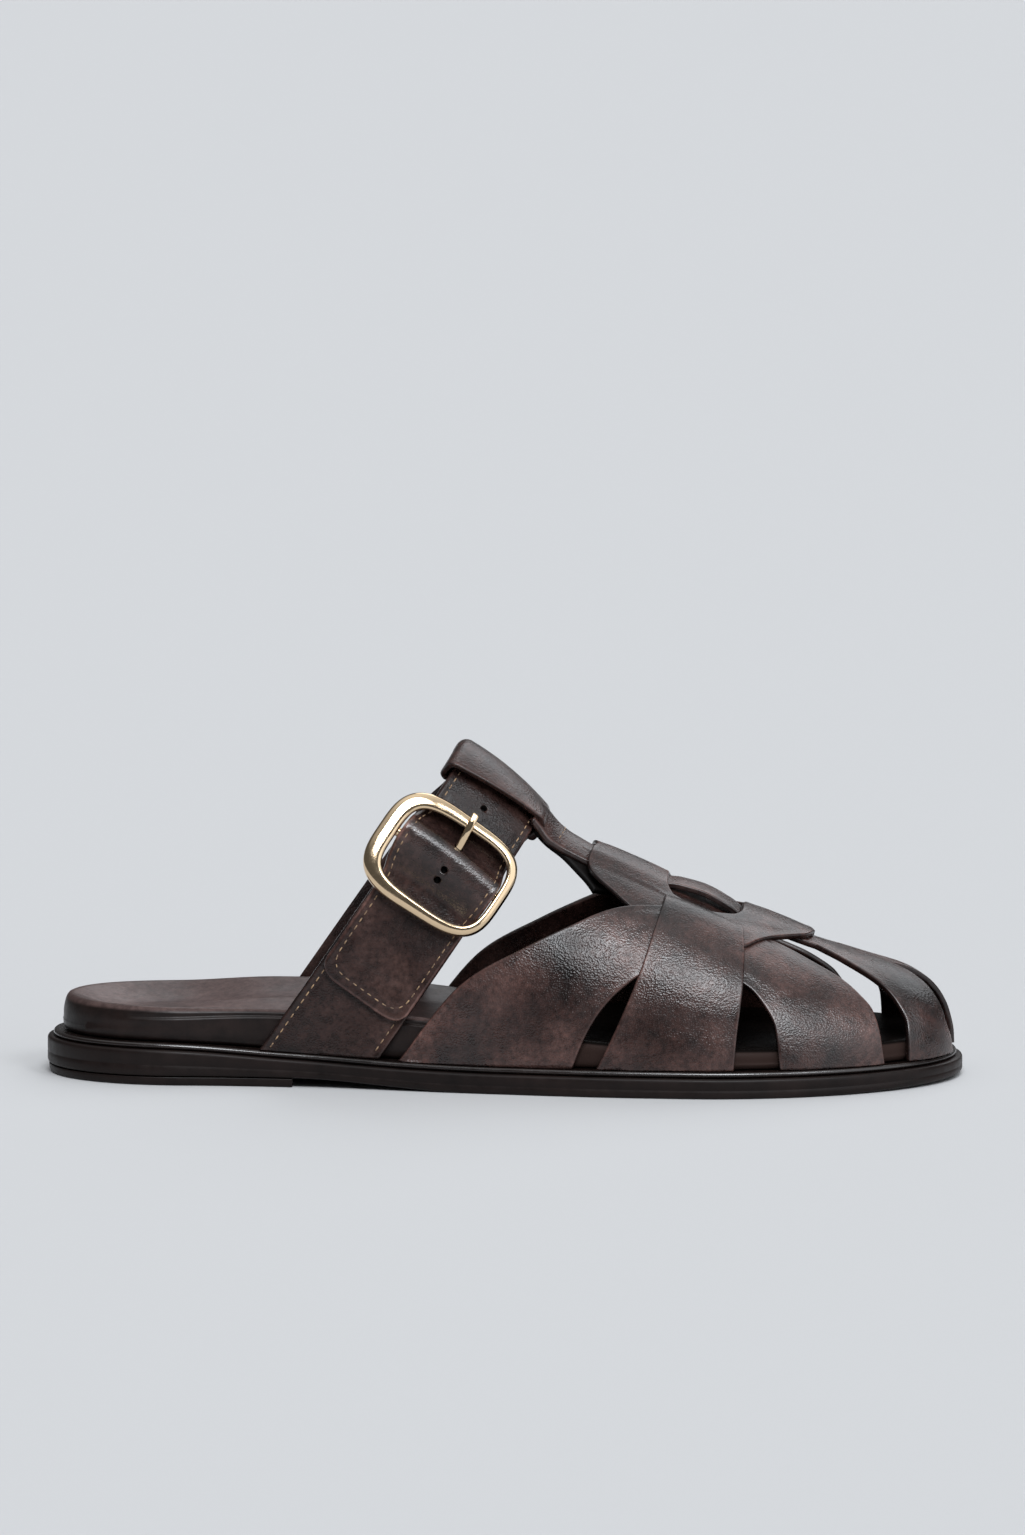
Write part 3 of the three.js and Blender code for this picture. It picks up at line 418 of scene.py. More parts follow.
def grid_faces(rows, cols, start=0, flip=False, wrap_rows=False, wrap_cols=False):
    i = np.arange(rows if wrap_rows else rows - 1)[:, None]
    j = np.arange(cols if wrap_cols else cols - 1)[None, :]
    a = start + i * cols + j
    b = start + i * cols + (j + 1) % cols
    c = start + (i + 1) % rows * cols + (j + 1) % cols
    d = start + (i + 1) % rows * cols + j
    order = (a, d, c, b) if flip else (a, b, c, d)
    return stack(*order).reshape(-1, 4).tolist()


def turned_out(points, faces):
    volume = 0.0
    for face in faces:
        p = points[face[0]]
        for k in range(1, len(face) - 1):
            volume += float(np.dot(p, np.cross(points[face[k]], points[face[k + 1]])))
    return faces if volume > 0 else [face[::-1] for face in faces]


# Closed sheet between a top and an under grid
def sheet(top, under):
    rows, cols = top.shape[:2]
    points = chain(top.reshape(-1, 3), under.reshape(-1, 3))
    below = rows * cols
    faces = grid_faces(rows, cols) + grid_faces(rows, cols, below, flip=True)
    rim = list(range(cols)) + [i * cols + cols - 1 for i in range(1, rows)]
    rim += [(rows - 1) * cols + j for j in range(cols - 2, -1, -1)]
    rim += [i * cols for i in range(rows - 2, 0, -1)]
    for a, b in zip(rim, rim[1:] + rim[:1]):
        faces.append([b, a, below + a, below + b])
    return points, turned_out(points, faces)


# Closed tube of rings, capped or joined in a circle
def tube(rings, circular=False):
    count, around = rings.shape[:2]
    points = rings.reshape(-1, 3)
    faces = grid_faces(count, around, wrap_rows=circular, wrap_cols=True)
    if not circular:
        faces.append(list(range(around))[::-1])
        faces.append(list(range((count - 1) * around, count * around)))
    return points, turned_out(points, faces)


def joined(parts):
    points, faces, start = [], [], 0
    for part_points, part_faces in parts:
        points.append(part_points)
        faces += [[start + k for k in face] for face in part_faces]
        start += len(part_points)
    return chain(*points), faces


# Stack of rings that follow the outline: rows of inset, height at x and side, and any further inset at x
STATIONS = 180


def ring_stack(levels, tuck=None):
    turn = np.pi * np.arange(STATIONS + 1) / STATIONS
    rings = []
    for inset, height, *further in levels:
        x = -(LENGTH / 2 - inset) * np.cos(turn)
        drawn_in = sum(depth(x) for depth in further) + (tuck(x) if tuck else 0)
        middle, half = plan_at(x, inset, drawn_in)
        outer = stack(x, middle - half, height(x, "outer"))
        inner = stack(x, middle + half, height(x, "inner"))
        rings.append(chain(outer, inner[-2:0:-1]))
    points = np.stack(rings)
    count, around = points.shape[:2]
    faces = grid_faces(count, around, wrap_cols=True)
    flat = points.reshape(-1, 3)
    for start, flip in ((0, False), ((count - 1) * around, True)):
        for i in range(STATIONS):
            a, b = start + i, start + i + 1
            c, d = start + (around - i - 1) % around, start + (around - i) % around
            face = [a, b, c, d] if i else [a, b, c]
            face = face if i < STATIONS - 1 else [a, b, d]
            faces.append(face[::-1] if flip else face)
    return flat, turned_out(flat, faces)


# Materials
def srgb(red, green, blue):
    def linear(value):
        share = value / 255
        return share / 12.92 if share <= 0.04045 else ((share + 0.055) / 1.055) ** 2.4
    return (linear(red), linear(green), linear(blue), 1)


def new_material(name):
    material = bpy.data.materials.new(name)
    material.use_nodes = True
    return material, material.node_tree


# Values on a node's own sockets, or other nodes' outputs linked to them
def feed(tree, node, inputs):
    for name, value in inputs.items():
        if isinstance(value, bpy.types.NodeSocket):
            tree.links.new(value, node.inputs[name])
        else:
            node.inputs[name].default_value = value
    return node


def new_node(tree, kind, inputs):
    return feed(tree, tree.nodes.new(kind), inputs)


def look(material, inputs):
    tree = material.node_tree
    feed(tree, tree.nodes["Principled BSDF"], inputs)
    return material


def object_place(tree):
    return tree.nodes.new("ShaderNodeTexCoord").outputs["Object"]


def attribute(tree, name):
    node = tree.nodes.new("ShaderNodeAttribute")
    node.attribute_name = name
    return node.outputs["Fac"]


# Noise patterns: scale per metre, detail and roughness
LEATHER_TONES, LEATHER_PORES, LEATHER_POLISH = (42, 5, 0.62), (520, 4, 0.7), (160, 5, 0.65)
BED_TONES, BED_WALL_TONES, BED_POLISH = (30, 4, 0.55), (90, 5, 0.6), (200, 4, 0.6)
RUBBER_TONES, RUBBER_POLISH = (60, 5, 0.6), (240, 4, 0.6)
METAL_POLISH = (300, 3, 0.6)
THREAD_TWIST = (900, 2, 0.6)
NOISE_LOW, NOISE_HIGH = 0.3, 0.7


def noise(tree, scale, detail, rough):
    inputs = {"Vector": object_place(tree), "Scale": scale, "Detail": detail, "Roughness": rough}
    return new_node(tree, "ShaderNodeTexNoise", inputs).outputs["Fac"]


def ramp(tree, value, *stops):
    node = tree.nodes.new("ShaderNodeValToRGB")
    while len(node.color_ramp.elements) < len(stops):
        node.color_ramp.elements.new(0.5)
    for element, (place, colour) in zip(node.color_ramp.elements, stops):
        element.position = place
        element.color = colour
    return feed(tree, node, {"Fac": value}).outputs["Color"]


# The mix's sockets for colours share their names with those for numbers, so they go by place
def mix(tree, share, first, second, kind="MIX"):
    node = tree.nodes.new("ShaderNodeMix")
    node.data_type = "RGBA"
    node.blend_type = kind
    feed(tree, node, {0: share, 6: first, 7: second})
    return node.outputs[2]


def times(tree, first, second):
    return mix(tree, 1.0, first, second, "MULTIPLY")


def spread(tree, value, low, high, out_low, out_high):
    inputs = {"Value": value, "From Min": low, "From Max": high, "To Min": out_low, "To Max": out_high}
    return new_node(tree, "ShaderNodeMapRange", inputs).outputs["Result"]


def polish(tree, pattern, gloss):
    return spread(tree, noise(tree, *pattern), NOISE_LOW, NOISE_HIGH, *gloss)


# Normal of leather grain: cells of this size over softer noise of twice that size
def grain(tree, cell, strength, depth):
    scale = 1 / (cell * MM)
    cells = new_node(tree, "ShaderNodeTexVoronoi", {"Vector": object_place(tree), "Scale": scale})
    total = tree.nodes.new("ShaderNodeMath")
    total.operation = "ADD"
    feed(tree, total, {0: cells.outputs["Distance"], 1: noise(tree, 0.5 * scale, 3, 0.6)})
    inputs = {"Strength": strength, "Distance": depth * MM, "Height": total.outputs[0]}
    return new_node(tree, "ShaderNodeBump", inputs).outputs["Normal"]


# A strap's mesh holds the distance from its nearest cut edge, in millimetres, and its painted shading: 0 on
# plain leather, up to 1 where painted light brightens the colour and the leather is glossier, and down to -1
# where painted shade darkens it and it is duller
def leather(name, tones, gloss, shine, cell, relief, edge_finish_and_highlight_tones):
    material, tree = new_material(name)
    dark, base, light = tones
    broad = ramp(tree, noise(tree, *LEATHER_TONES), (0.34, dark), (0.5, base), (0.68, light))
    fine = ramp(tree, noise(tree, *LEATHER_PORES), (0.34, (0.34, 0.32, 0.32, 1)), (0.66, (1, 1, 1, 1)))
    painted_shading, edge = attribute(tree, "painted_shading"), attribute(tree, "edge")
    # Painted light and painted shade: the painted shading attribute scales the colour here, and the specular
    # below
    skin = times(tree, times(tree, broad, fine), spread(tree, painted_shading, -1, 1, 0, 2))
    # The cut edge takes the first edge tone, its own edge finish, which on the instep strap is partly a
    # painted highlight; the rounded rim takes the second tone, a painted highlight where it would catch
    # light, partly a lighter edge finish
    cut, rim, flat = ((tone, tone, tone, 1) for tone in (*edge_finish_and_highlight_tones, 1))
    wear_and_rim_highlight = ramp(tree, edge, (0.08, cut), (0.45, rim), (1.0, flat))
    strength = spread(tree, edge, 0.3, 1.6, 0.1 * relief, relief)
    return look(material, {
        "Base Color": times(tree, skin, wear_and_rim_highlight),
        "Roughness": polish(tree, LEATHER_POLISH, gloss),
        "Specular IOR Level": spread(tree, painted_shading, -1, 1, 0, 2 * shine),
        "Normal": grain(tree, cell, strength, depth=0.24),
    })


# Share of the way from the open heel to under the upper
def forward_share(tree, heel=-30, toe=10):
    parts = new_node(tree, "ShaderNodeSeparateXYZ", {"Vector": object_place(tree)})
    return spread(tree, parts.outputs["X"], heel * MM, toe * MM, 0, 1)


# The edge attribute is 1 on the footbed's top and 0 on its side wall
def footbed_leather():
    material, tree = new_material("footbed_leather")
    forward = forward_share(tree)
    top = ramp(tree, noise(tree, *BED_TONES), (0.35, srgb(62, 48, 46)), (0.65, srgb(90, 72, 69)))
    # The side wall is much darker than the top: partly a darker edge, partly painted shade
    side = ramp(tree, noise(tree, *BED_WALL_TONES), (0.35, srgb(16, 11, 10)), (0.65, srgb(34, 25, 23)))
    wear_and_rim_highlight = ramp(tree, noise(tree, *LEATHER_PORES), (0.36, (0.62, 0.6, 0.6, 1)), (0.62, (1.1, 1.1, 1.1, 1)))
    # Painted shade: from the open heel forward, under the upper, the top turns nearly black; the side wall
    # turns lighter toward the toe
    top = mix(tree, forward, times(tree, top, wear_and_rim_highlight), srgb(14, 11, 10))
    side = mix(tree, forward, side, srgb(46, 35, 32))
    return look(material, {
        "Base Color": mix(tree, attribute(tree, "edge"), side, top),
        "Roughness": polish(tree, BED_POLISH, (0.3, 0.44)),
        "Specular IOR Level": spread(tree, forward, 0, 1, 0.2, 0.02),
        "Normal": grain(tree, cell=0.8, strength=0.15, depth=0.12),
    })


def rubber(name, gloss, shine):
    material, tree = new_material(name)
    return look(material, {
        "Base Color": ramp(tree, noise(tree, *RUBBER_TONES), (0.3, srgb(14, 9, 8)), (0.7, srgb(30, 21, 19))),
        "Roughness": polish(tree, RUBBER_POLISH, gloss),
        "Specular IOR Level": shine,
        "Normal": grain(tree, cell=0.6, strength=0.12, depth=0.08),
    })


def gold():
    material, tree = new_material("buckle_gold")
    roughness = polish(tree, METAL_POLISH, (0.08, 0.16))
    return look(material, {"Base Color": (0.8, 0.61, 0.4, 1), "Metallic": 1, "Roughness": roughness})


def thread():
    material, tree = new_material("tan_thread")
    tone = ramp(tree, noise(tree, *THREAD_TWIST), (0.35, srgb(92, 72, 58)), (0.65, srgb(164, 134, 102)))
    return look(material, {"Base Color": tone, "Roughness": 0.6})


def floor_material():
    material, _ = new_material("pale_floor")
    colour = (0.525, 0.526, 0.533, 1)
    return look(material, {"Base Color": colour, "Roughness": 0.75, "Specular IOR Level": 0.2})


UPPER_LEATHER = leather(
    "upper_leather", (srgb(26, 16, 15), srgb(60, 39, 35), srgb(96, 68, 62)),
    gloss=(0.22, 0.36), shine=0.55, cell=0.62, relief=0.42, edge_finish_and_highlight_tones=(0.5, 1.5),
)
STRAP_TONES = (srgb(22, 14, 13), srgb(50, 34, 31), srgb(76, 55, 50))
STRAP_FINISH = {"gloss": (0.2, 0.3), "shine": 0.4, "cell": 0.55, "relief": 0.24}
STRAP_LEATHER = leather("strap_leather", STRAP_TONES, edge_finish_and_highlight_tones=(2.4, 3.0), **STRAP_FINISH)
BASE_LEATHER = leather("base_strap_leather", STRAP_TONES, edge_finish_and_highlight_tones=(0.6, 1.1), **STRAP_FINISH)
# Near-black leather, painted shade: on the neck's under layer, which lies in shadow, and on the walls of the
# punched holes
PAINTED_SHADE_LEATHER = leather(
    "painted_shade_leather", (srgb(8, 6, 6), srgb(15, 11, 10), srgb(22, 16, 15)),
    gloss=(0.5, 0.6), shine=0.1, cell=0.55, relief=0.2, edge_finish_and_highlight_tones=(0.5, 1),
)
FOOTBED_LEATHER = footbed_leather()
RUBBER = rubber("sole_rubber", gloss=(0.34, 0.5), shine=0.18)
RAND_RUBBER = rubber("rand_rubber", gloss=(0.16, 0.3), shine=0.75)
GOLD = gold()
THREAD = thread()


# Sole pieces: levels of inset and height
OUTSOLE_FOOT = table("inset rise", (0.9, 0), (0.5, 0.15), (0.2, 0.45), (0, 1.1))
OUTSOLE_LINE = table("inset share shift", (0, 0.42, -0.3), (0.16, 0.42, 0), (0.16, 0.45, 0), (0, 0.45, 0.3))
OUTSOLE_RIM = table("inset rise", (0, -1.3), (0.06, -0.65), (0.3, -0.2), (0.75, 0), (2.2, -0.05))
LIFT_PROFILE = table(
    "inset z",
    (1.7, 0), (1.2, 0.1), (0.8, 0.6), (0.6, 1.3), (0.45, LIFT_HEIGHT - 0.3), (0.6, LIFT_HEIGHT),
)
RAND_PROFILE = table(
    "inset rise",
    (0.8, 0.1), (0.3, 0.3), (0, 0.8), (0, RAND_RISE - 0.9), (0.12, RAND_RISE - 0.45),
    (0.4, RAND_RISE - 0.15), (0.85, RAND_RISE), (1.5, RAND_RISE - 0.05), (2.6, RAND_RISE - 0.1),
)


def levels_on(surface, profile, inset=0):
    def above(rise):
        return lambda x, side: surface(x) + rise
    return [(inset + further, above(rise)) for further, rise in rows_of(profile)]


def outsole():
    def line(share, shift):
        return lambda x, side: blend(underside_at(x), sole_top_at(x), share) + shift

    levels = levels_on(underside_at, OUTSOLE_FOOT)
    levels += [(inset, line(share, shift)) for inset, share, shift in rows_of(OUTSOLE_LINE)]
    levels += levels_on(sole_top_at, OUTSOLE_RIM)
    return add_mesh("outsole", RUBBER, *ring_stack(levels), sharp=50)


def heel_lift(stations=70):
    turn = np.linspace(0, 1, stations)
    rings = []
    for inset, z in rows_of(LIFT_PROFILE):
        heel = -(LENGTH / 2 - inset)
        x = blend(heel, BREAST_X, 1 - np.cos(turn * math.pi / 2))
        middle, half = plan_at(x, inset)
        outer = stack(x, middle - half, 0 * x + z)
        inner = stack(x, middle + half, 0 * x + z)
        rings.append(chain(outer, inner[:0:-1]))
    return add_mesh("heel_lift", RUBBER, *tube(np.stack(rings)), sharp=40)


def rand():
    levels = levels_on(sole_top_at, RAND_PROFILE, RAND_INSET)
    return add_mesh("rand", RAND_RUBBER, *ring_stack(levels), sharp=60)


# Footbed: side wall with a bead and a groove under the rim, and a hollow top
FOOTBED_FOOT = table("inset rise", (1.2, SEAT), (0.5, 0.7), (0.15, 1.5))
FOOTBED_PLUMB = 0.3  # share of the height at which the side wall is at its full width
FOOTBED_RIM = table(
    "drop inset groove",
    (4.4, 0.1, 0), (3.5, 0.15, 0), (3.1, 0.17, -0.17), (2.75, 0.2, -0.2), (2.4, 0.28, 0.05),
    (2.15, 0.35, 0.4), (1.85, 0.45, 0.34), (1.55, 0.58, 0), (1.1, 0.8, 0),
    (0.6, 1.2, 0), (0.2, 1.85, 0), (0, 2.7, 0),
)
RIM_LEVELS_ON_TOP = 3  # these last levels of the rim have the top's look
FOOTBED_DISH = table(
    "dish inset",
    (0.04, 3.8), (0.14, 5.2), (0.36, 8), (0.6, 11), (0.8, 14.5), (0.93, 17), (0.985, 19), (1, 21),
)
GROOVE = table("x share", (-144, 0), (-124, 0), (-110, 1), (-30, 1), (-8, 0), (144, 0))


def footbed():
    def rim(drop, dish):
        def height(x, side):
            rounding = drop * column(FOOTBED, "round", x)
            return column(FOOTBED, side, x) - rounding - dish * column(FOOTBED, "hollow", x)
        return height

    def plumb(x, side):
        return blend(rand_top_at(x), column(FOOTBED, side, x), FOOTBED_PLUMB)

    def grooved(depth):
        return lambda x: depth * column(GROOVE, "share", x)

    levels = levels_on(rand_top_at, FOOTBED_FOOT, FOOTBED_INSET) + [(FOOTBED_INSET, plumb)]
    for drop, inset, depth in rows_of(FOOTBED_RIM):
        levels.append((FOOTBED_INSET + inset, rim(drop, 0), grooved(depth)))
    wall_levels = len(levels) - RIM_LEVELS_ON_TOP
    levels += [(FOOTBED_INSET + inset, rim(0, dish)) for dish, inset in rows_of(FOOTBED_DISH)]
    points, faces = ring_stack(levels, lambda x: column(FOOTBED, "tuck", x))
    on_top = np.repeat(np.arange(len(levels)) >= wall_levels, len(points) // len(levels))
    return add_mesh("footbed", FOOTBED_LEATHER, points, faces, on_top, sharp=70)


# Leather strips
def edge_drop(distance, radius=EDGE_ROUND):
    near = np.clip(distance / radius, 0, 1)
    return radius * (1 - np.sqrt(1 - (1 - near) ** 2))


def under_lift(distance):
    return UNDER_ROUND * np.clip(1 - distance / UNDER_REACH, 0, 1)


# Strip over a grid of surface coordinates; distance is from the nearest cut edge
def strip(grid, distance, place, rise, thickness, relief=0.0, edge_radius=EDGE_ROUND, painted_shading=None):
    top = place(grid, rise + thickness - edge_drop(distance, edge_radius) + relief)
    under = place(grid, rise + under_lift(distance))
    points, faces = sheet(top, under)
    edge = chain(distance.ravel(), np.full(distance.size, FAR_FROM_EDGE))
    edge[distance.size:][distance.ravel() <= 0] = 0
    if painted_shading is not None:
        painted_shading = chain(painted_shading.ravel(), np.zeros(distance.size))
    return points, faces, edge, painted_shading


# Surface coordinates at a distance inside an edge curve
def inset_curve(curve, place, toward, distance):
    zero = np.zeros(len(curve))
    steps = np.array([[0.02, 0.0], [0.0, 0.0004]])
    base = place(curve, zero)
    slopes = [(place(curve + step, zero) - place(curve - step, zero)) / (2 * step.max()) for step in steps]
    normal = unit(np.cross(slopes[0], slopes[1]))
    inward = unit(np.cross(normal, np.gradient(base, axis=0)))
    inward *= np.sign(np.sum(inward * toward, -1, keepdims=True))
    jacobian = stack(*slopes)
    move = np.einsum("nij,nj->ni", np.linalg.pinv(jacobian), inward)
    return curve[None] + distance[:, None, None] * move[None]


def edge_to_edge(rear, front, place, inner_columns):
    zero = np.zeros(len(rear))
    toward = place(front, zero) - place(rear, zero)
    rear_side = inset_curve(rear, place, toward, EDGE_STEPS)
    front_side = inset_curve(front, place, -toward, EDGE_STEPS)
    shares = np.linspace(0, 1, inner_columns + 2)[1:-1]
    inside = [blend(rear_side[-1], front_side[-1], share) for share in shares]
    grid = np.stack([*rear_side, *inside, *front_side[::-1]], 1)
    gap = np.linalg.norm(toward, axis=-1)[:, None]
    inside_distance = EDGE_STEPS[-1] + np.minimum(shares, 1 - shares) * gap
    edge = np.broadcast_to(EDGE_STEPS, (len(rear), len(EDGE_STEPS)))
    return grid, np.concatenate([edge, inside_distance, edge[:, ::-1]], 1)


# Soft creases of the upper: troughs from one point to another, in x and girth
CREASES = table(
    "x0 girth0 x1 girth1 depth width",
    (88, -0.62, 97, -0.55, 0.11, 1.1),
    (92, -0.7, 103, -0.6, 0.09, 1.2),
    (56, -0.62, 70, -0.66, 0.09, 1.1),
    (54, -0.72, 66, -0.74, 0.08, 1),
    (20, -0.62, 36, -0.58, 0.09, 1.6),
    (8, -0.84, 20, -0.8, 0.08, 1.5),
    (88, 0.62, 98, 0.55, 0.1, 1.2),
    (56, 0.62, 70, 0.66, 0.09, 1.2),
    (22, 0.62, 38, 0.58, 0.09, 1.6),
)
GIRTH_MM = 88.0  # length of the unit of girth, for crease widths
CREASE_HOLD, CREASE_FADE = 0.2, 0.32  # shares of a crease's length, out from its middle
LIP_HEIGHT, LIP_OFF, LIP_WIDTH = 0.5, 1.7, 0.9  # ridges beside a trough, in its depth and width


def crease_relief(grid):
    x, y = grid[..., 0], grid[..., 1] * GIRTH_MM
    relief = np.zeros_like(x)
    for x0, g0, x1, g1, depth, width in rows_of(CREASES):
        run = np.array([x1 - x0, (g1 - g0) * GIRTH_MM])
        size = np.hypot(*run)
        along = ((x - x0) * run[0] + (y - g0 * GIRTH_MM) * run[1]) / size
        off = ((y - g0 * GIRTH_MM) * run[0] - (x - x0) * run[1]) / size
        fade = bump(np.clip(np.abs(along - size / 2) - size * CREASE_HOLD, 0, None), size * CREASE_FADE)
        lips = LIP_HEIGHT * bump(np.abs(off) - LIP_OFF * width, LIP_WIDTH * width)
        relief += fade * depth * (lips - bump(off, width))
    return relief


# Painted shade and painted light on the upper: darker and lighter spots, in x and girth, that also lower or
# raise the specular
PAINTED_SHADING_SPOTS = table(
    "x girth reach tone",
    (17, -0.74, 14, -0.4),
    (54, -0.9, 11, -0.3),
    (48, -0.84, 9, -0.2),
    (-12, -0.9, 12, 0.25),
    (92, -0.6, 8, -0.25),
    (119, -0.38, 17, -0.4),
    (134, -0.62, 16, 0.7),
)


def painted_shading_spots(grid):
    x, girth = grid[..., 0], grid[..., 1]
    tone = np.zeros_like(x)
    for spot_x, spot_girth, reach, depth in rows_of(PAINTED_SHADING_SPOTS):
        tone += depth * bump(np.hypot(x - spot_x, (girth - spot_girth) * GIRTH_MM), reach)
    return tone


# Slow waves of the leather, of lengths that do not repeat together
def soft_waves(grid, depth=0.07):
    x, girth = grid[..., 0], grid[..., 1]
    return depth * np.sin(x / 7 + 9 * girth) * np.sin(girth * 23 + x / 11)


def girth_strap(name, rows, steps=220, inner_columns=18, crown=0.35, crowding=1.2):
    even = np.linspace(-1, 1, steps)
    girth = np.sign(even) * np.abs(even) ** crowding
    away = np.abs(girth)

    def value(key):
        plain = column(rows, key, away)
        if key + "_in" not in rows:
            return plain
        return plain + np.where(girth > 0, column(rows, key + "_in", away), 0)

    rear = stack(value("rear"), girth)
    front = stack(value("front"), girth)
    grid, distance = edge_to_edge(rear, front, on_last, inner_columns)
    grid[..., 1] = np.clip(grid[..., 1], -1, 1)
    grid[0, :, 1], grid[-1, :, 1] = -1, 1
    rise = (value("layer") * PITCH)[:, None]
    relief = crown * (1 - bump(distance, CROWN_REACH)) + crease_relief(grid)
    relief += soft_waves(grid) * (1 - bump(distance, WAVE_REACH))
    leather_strip = strip(grid, distance, on_last, rise, LEATHER, relief, painted_shading=painted_shading_spots(grid))
    return add_mesh(name, UPPER_LEATHER, *leather_strip)


def spine(steps=160, inner_columns=8):
    x = np.linspace(SPINE["x"][0], SPINE["x"][-1], steps)
    half = np.full(steps, SPINE_HALF)
    grid, distance = edge_to_edge(stack(x, -half), stack(x, half), on_last, inner_columns)
    rise = (column(SPINE, "layer", x) * PITCH)[:, None]
    return add_mesh("upper_spine", UPPER_LEATHER, *strip(grid, distance, on_last, rise, LEATHER))


# Spine's neck: two layers between the loop and the front chevron
def on_neck(grid, rise):
    x, y = grid[..., 0], grid[..., 1]
    step = 0.1
    slope = (column(NECK, "z", x + step) - column(NECK, "z", x - step)) / (2 * step)
    run = np.sqrt(1 + slope * slope)
    lift = rise - NECK_CROWN * y * y
    return stack(x - slope / run * lift, last_point(x, 0 * x)[..., 1] + y, column(NECK, "z", x) + lift / run)


def neck(name, half_name, rise, x_ends, material, steps=60, inner_columns=10):
    x = np.linspace(*x_ends, steps)
    half = column(NECK, half_name, x)
    grid, distance = edge_to_edge(stack(x, -half), stack(x, half), on_neck, inner_columns)
    return add_mesh(name, material, *strip(grid, distance, on_neck, rise, LEATHER))


# Loop of the spine: a closed band round the instep strap
def loop_outline(grow, corner_steps=9, straight_steps=24):
    reach = STRAP_WIDTH / 2 + LOOP_ROOM
    corner = LOOP_CORNER + grow
    top = LOOP_SEAT + STRAP
    side, high, low = reach - LOOP_CORNER, top - LOOP_CORNER, LOOP_CORNER - LOOP_SEAT
    centres = ((side, high, 0), (-side, high, 90), (-side, low, 180), (side, low, 270))
    path = []
    for across, up, start in centres:
        turn = np.radians(start + np.linspace(0, 90, corner_steps))
        path.append(stack(across + corner * np.cos(turn), up + corner * np.sin(turn)))
        if start in (0, 180):
            sign, level = (1, top + grow) if start == 0 else (-1, -LOOP_SEAT - grow)
            run = sign * np.linspace(LOOP_STRAIGHT, -LOOP_STRAIGHT, straight_steps)
            path.append(stack(run * reach, 0 * run + level))
    return chain(*path)


def loop(steps=41, inner_columns=18):
    reach = STRAP_WIDTH / 2 + LOOP_ROOM
    outer, inner = loop_outline(LOOP_LEATHER), loop_outline(0)
    span = LOOP_GIRTH * np.linspace(-1, 1, steps)
    arc = arc_length(on_arch(stack(span, 0 * span), 0 * span))
    inside = np.linspace(EDGE_STEPS[-1], arc[-1] - EDGE_STEPS[-1], inner_columns)[1:-1]
    distance_along = chain(EDGE_STEPS, inside, arc[-1] - EDGE_STEPS[::-1])
    girths = np.interp(distance_along, arc, span)
    distance = np.minimum(distance_along, arc[-1] - distance_along)
    bend = (girths / LOOP_GIRTH) ** 2

    def face(path, drop):
        rows = []
        for across, up in path:
            high = np.clip((up + LOOP_SEAT) / (STRAP + 2 * LOOP_SEAT), 0, 1)
            sign = 1 if up > STRAP / 2 else -1
            side = np.clip(abs(across) - STRAP_WIDTH / 2, 0, 1)
            rise = up - drop * sign * (1 - side) + blend(-LOOP_UNDER_FLARE, LOOP_FLARE, high) * bend
            shift = across - drop * side * np.sign(across)
            forward = np.clip((across + reach) / (2 * reach), 0, 1)
            narrow = 1 - LOOP_TAPER / LOOP_GIRTH * forward ** LOOP_TAPER_POWER
            rows.append(on_arch(stack(girths * narrow, 0 * girths + shift), rise))
        return np.stack(rows)

    out = face(outer, edge_drop(distance))
    back = face(inner, -under_lift(distance))
    band = tube(np.concatenate([out, back[:, ::-1]], 1), circular=True)
    edge = chain(distance, np.full(len(distance), FAR_FROM_EDGE))
    return add_mesh("upper_loop", UPPER_LEATHER, *band, np.tile(edge, len(outer)))


# Instep strap with its rounded tip
def tip_rounding(part):
    return TIP_RUN * (1 - np.maximum(0, 1 - np.abs(part) ** TIP_POWER) ** 0.5)


def strap_columns(half, inner_columns=20):
    inside = np.linspace(-half + EDGE_STEPS[-1], half - EDGE_STEPS[-1], inner_columns)[1:-1]
    across = chain(-half + EDGE_STEPS, inside, half - EDGE_STEPS[::-1])
    return across, half - np.abs(across)


def stitch_trough(distance):
    return -TROUGH_DEPTH * bump(distance - STITCH_INSET, TROUGH_WIDTH)


STRAP_WRINKLES = table(
    "girth across0 across1 depth width",
    (BUCKLE_GIRTH + 0.075, -15, 15, 0.5, 0.016),
    (BUCKLE_GIRTH - 0.075, -15, 15, 0.45, 0.016),
    (BUCKLE_GIRTH - 0.045, -11, 2, 0.25, 0.008),
    (BUCKLE_GIRTH - 0.3, -6, 8, 0.18, 0.01),
)
WRINKLE_HOLD, WRINKLE_FADE = 0.4, 3  # share of its length, out from its middle, and then millimetres


def strap_wrinkles(girth, across):
    relief = np.zeros_like(girth)
    for g, a0, a1, depth, width in rows_of(STRAP_WRINKLES):
        past = np.clip(np.abs(across - (a0 + a1) / 2) - (a1 - a0) * WRINKLE_HOLD, 0, None)
        relief -= bump(past, WRINKLE_FADE) * depth * bump(girth - g, width)
    return relief


# Painted highlight on the crest over the bar, where the specular is also raised for a glossier fold, and
# painted shade of the loop's shadow on the strap above the buckle, where the specular is lowered
STRAP_PAINTED_SHADING = table("girth reach tone", (BUCKLE_GIRTH + 0.02, 0.04, 0.9), (-0.33, 0.09, -0.6))


def strap_painted_shading(girth):
    return sum(tone * bump(girth - spot, reach) for spot, reach, tone in rows_of(STRAP_PAINTED_SHADING))


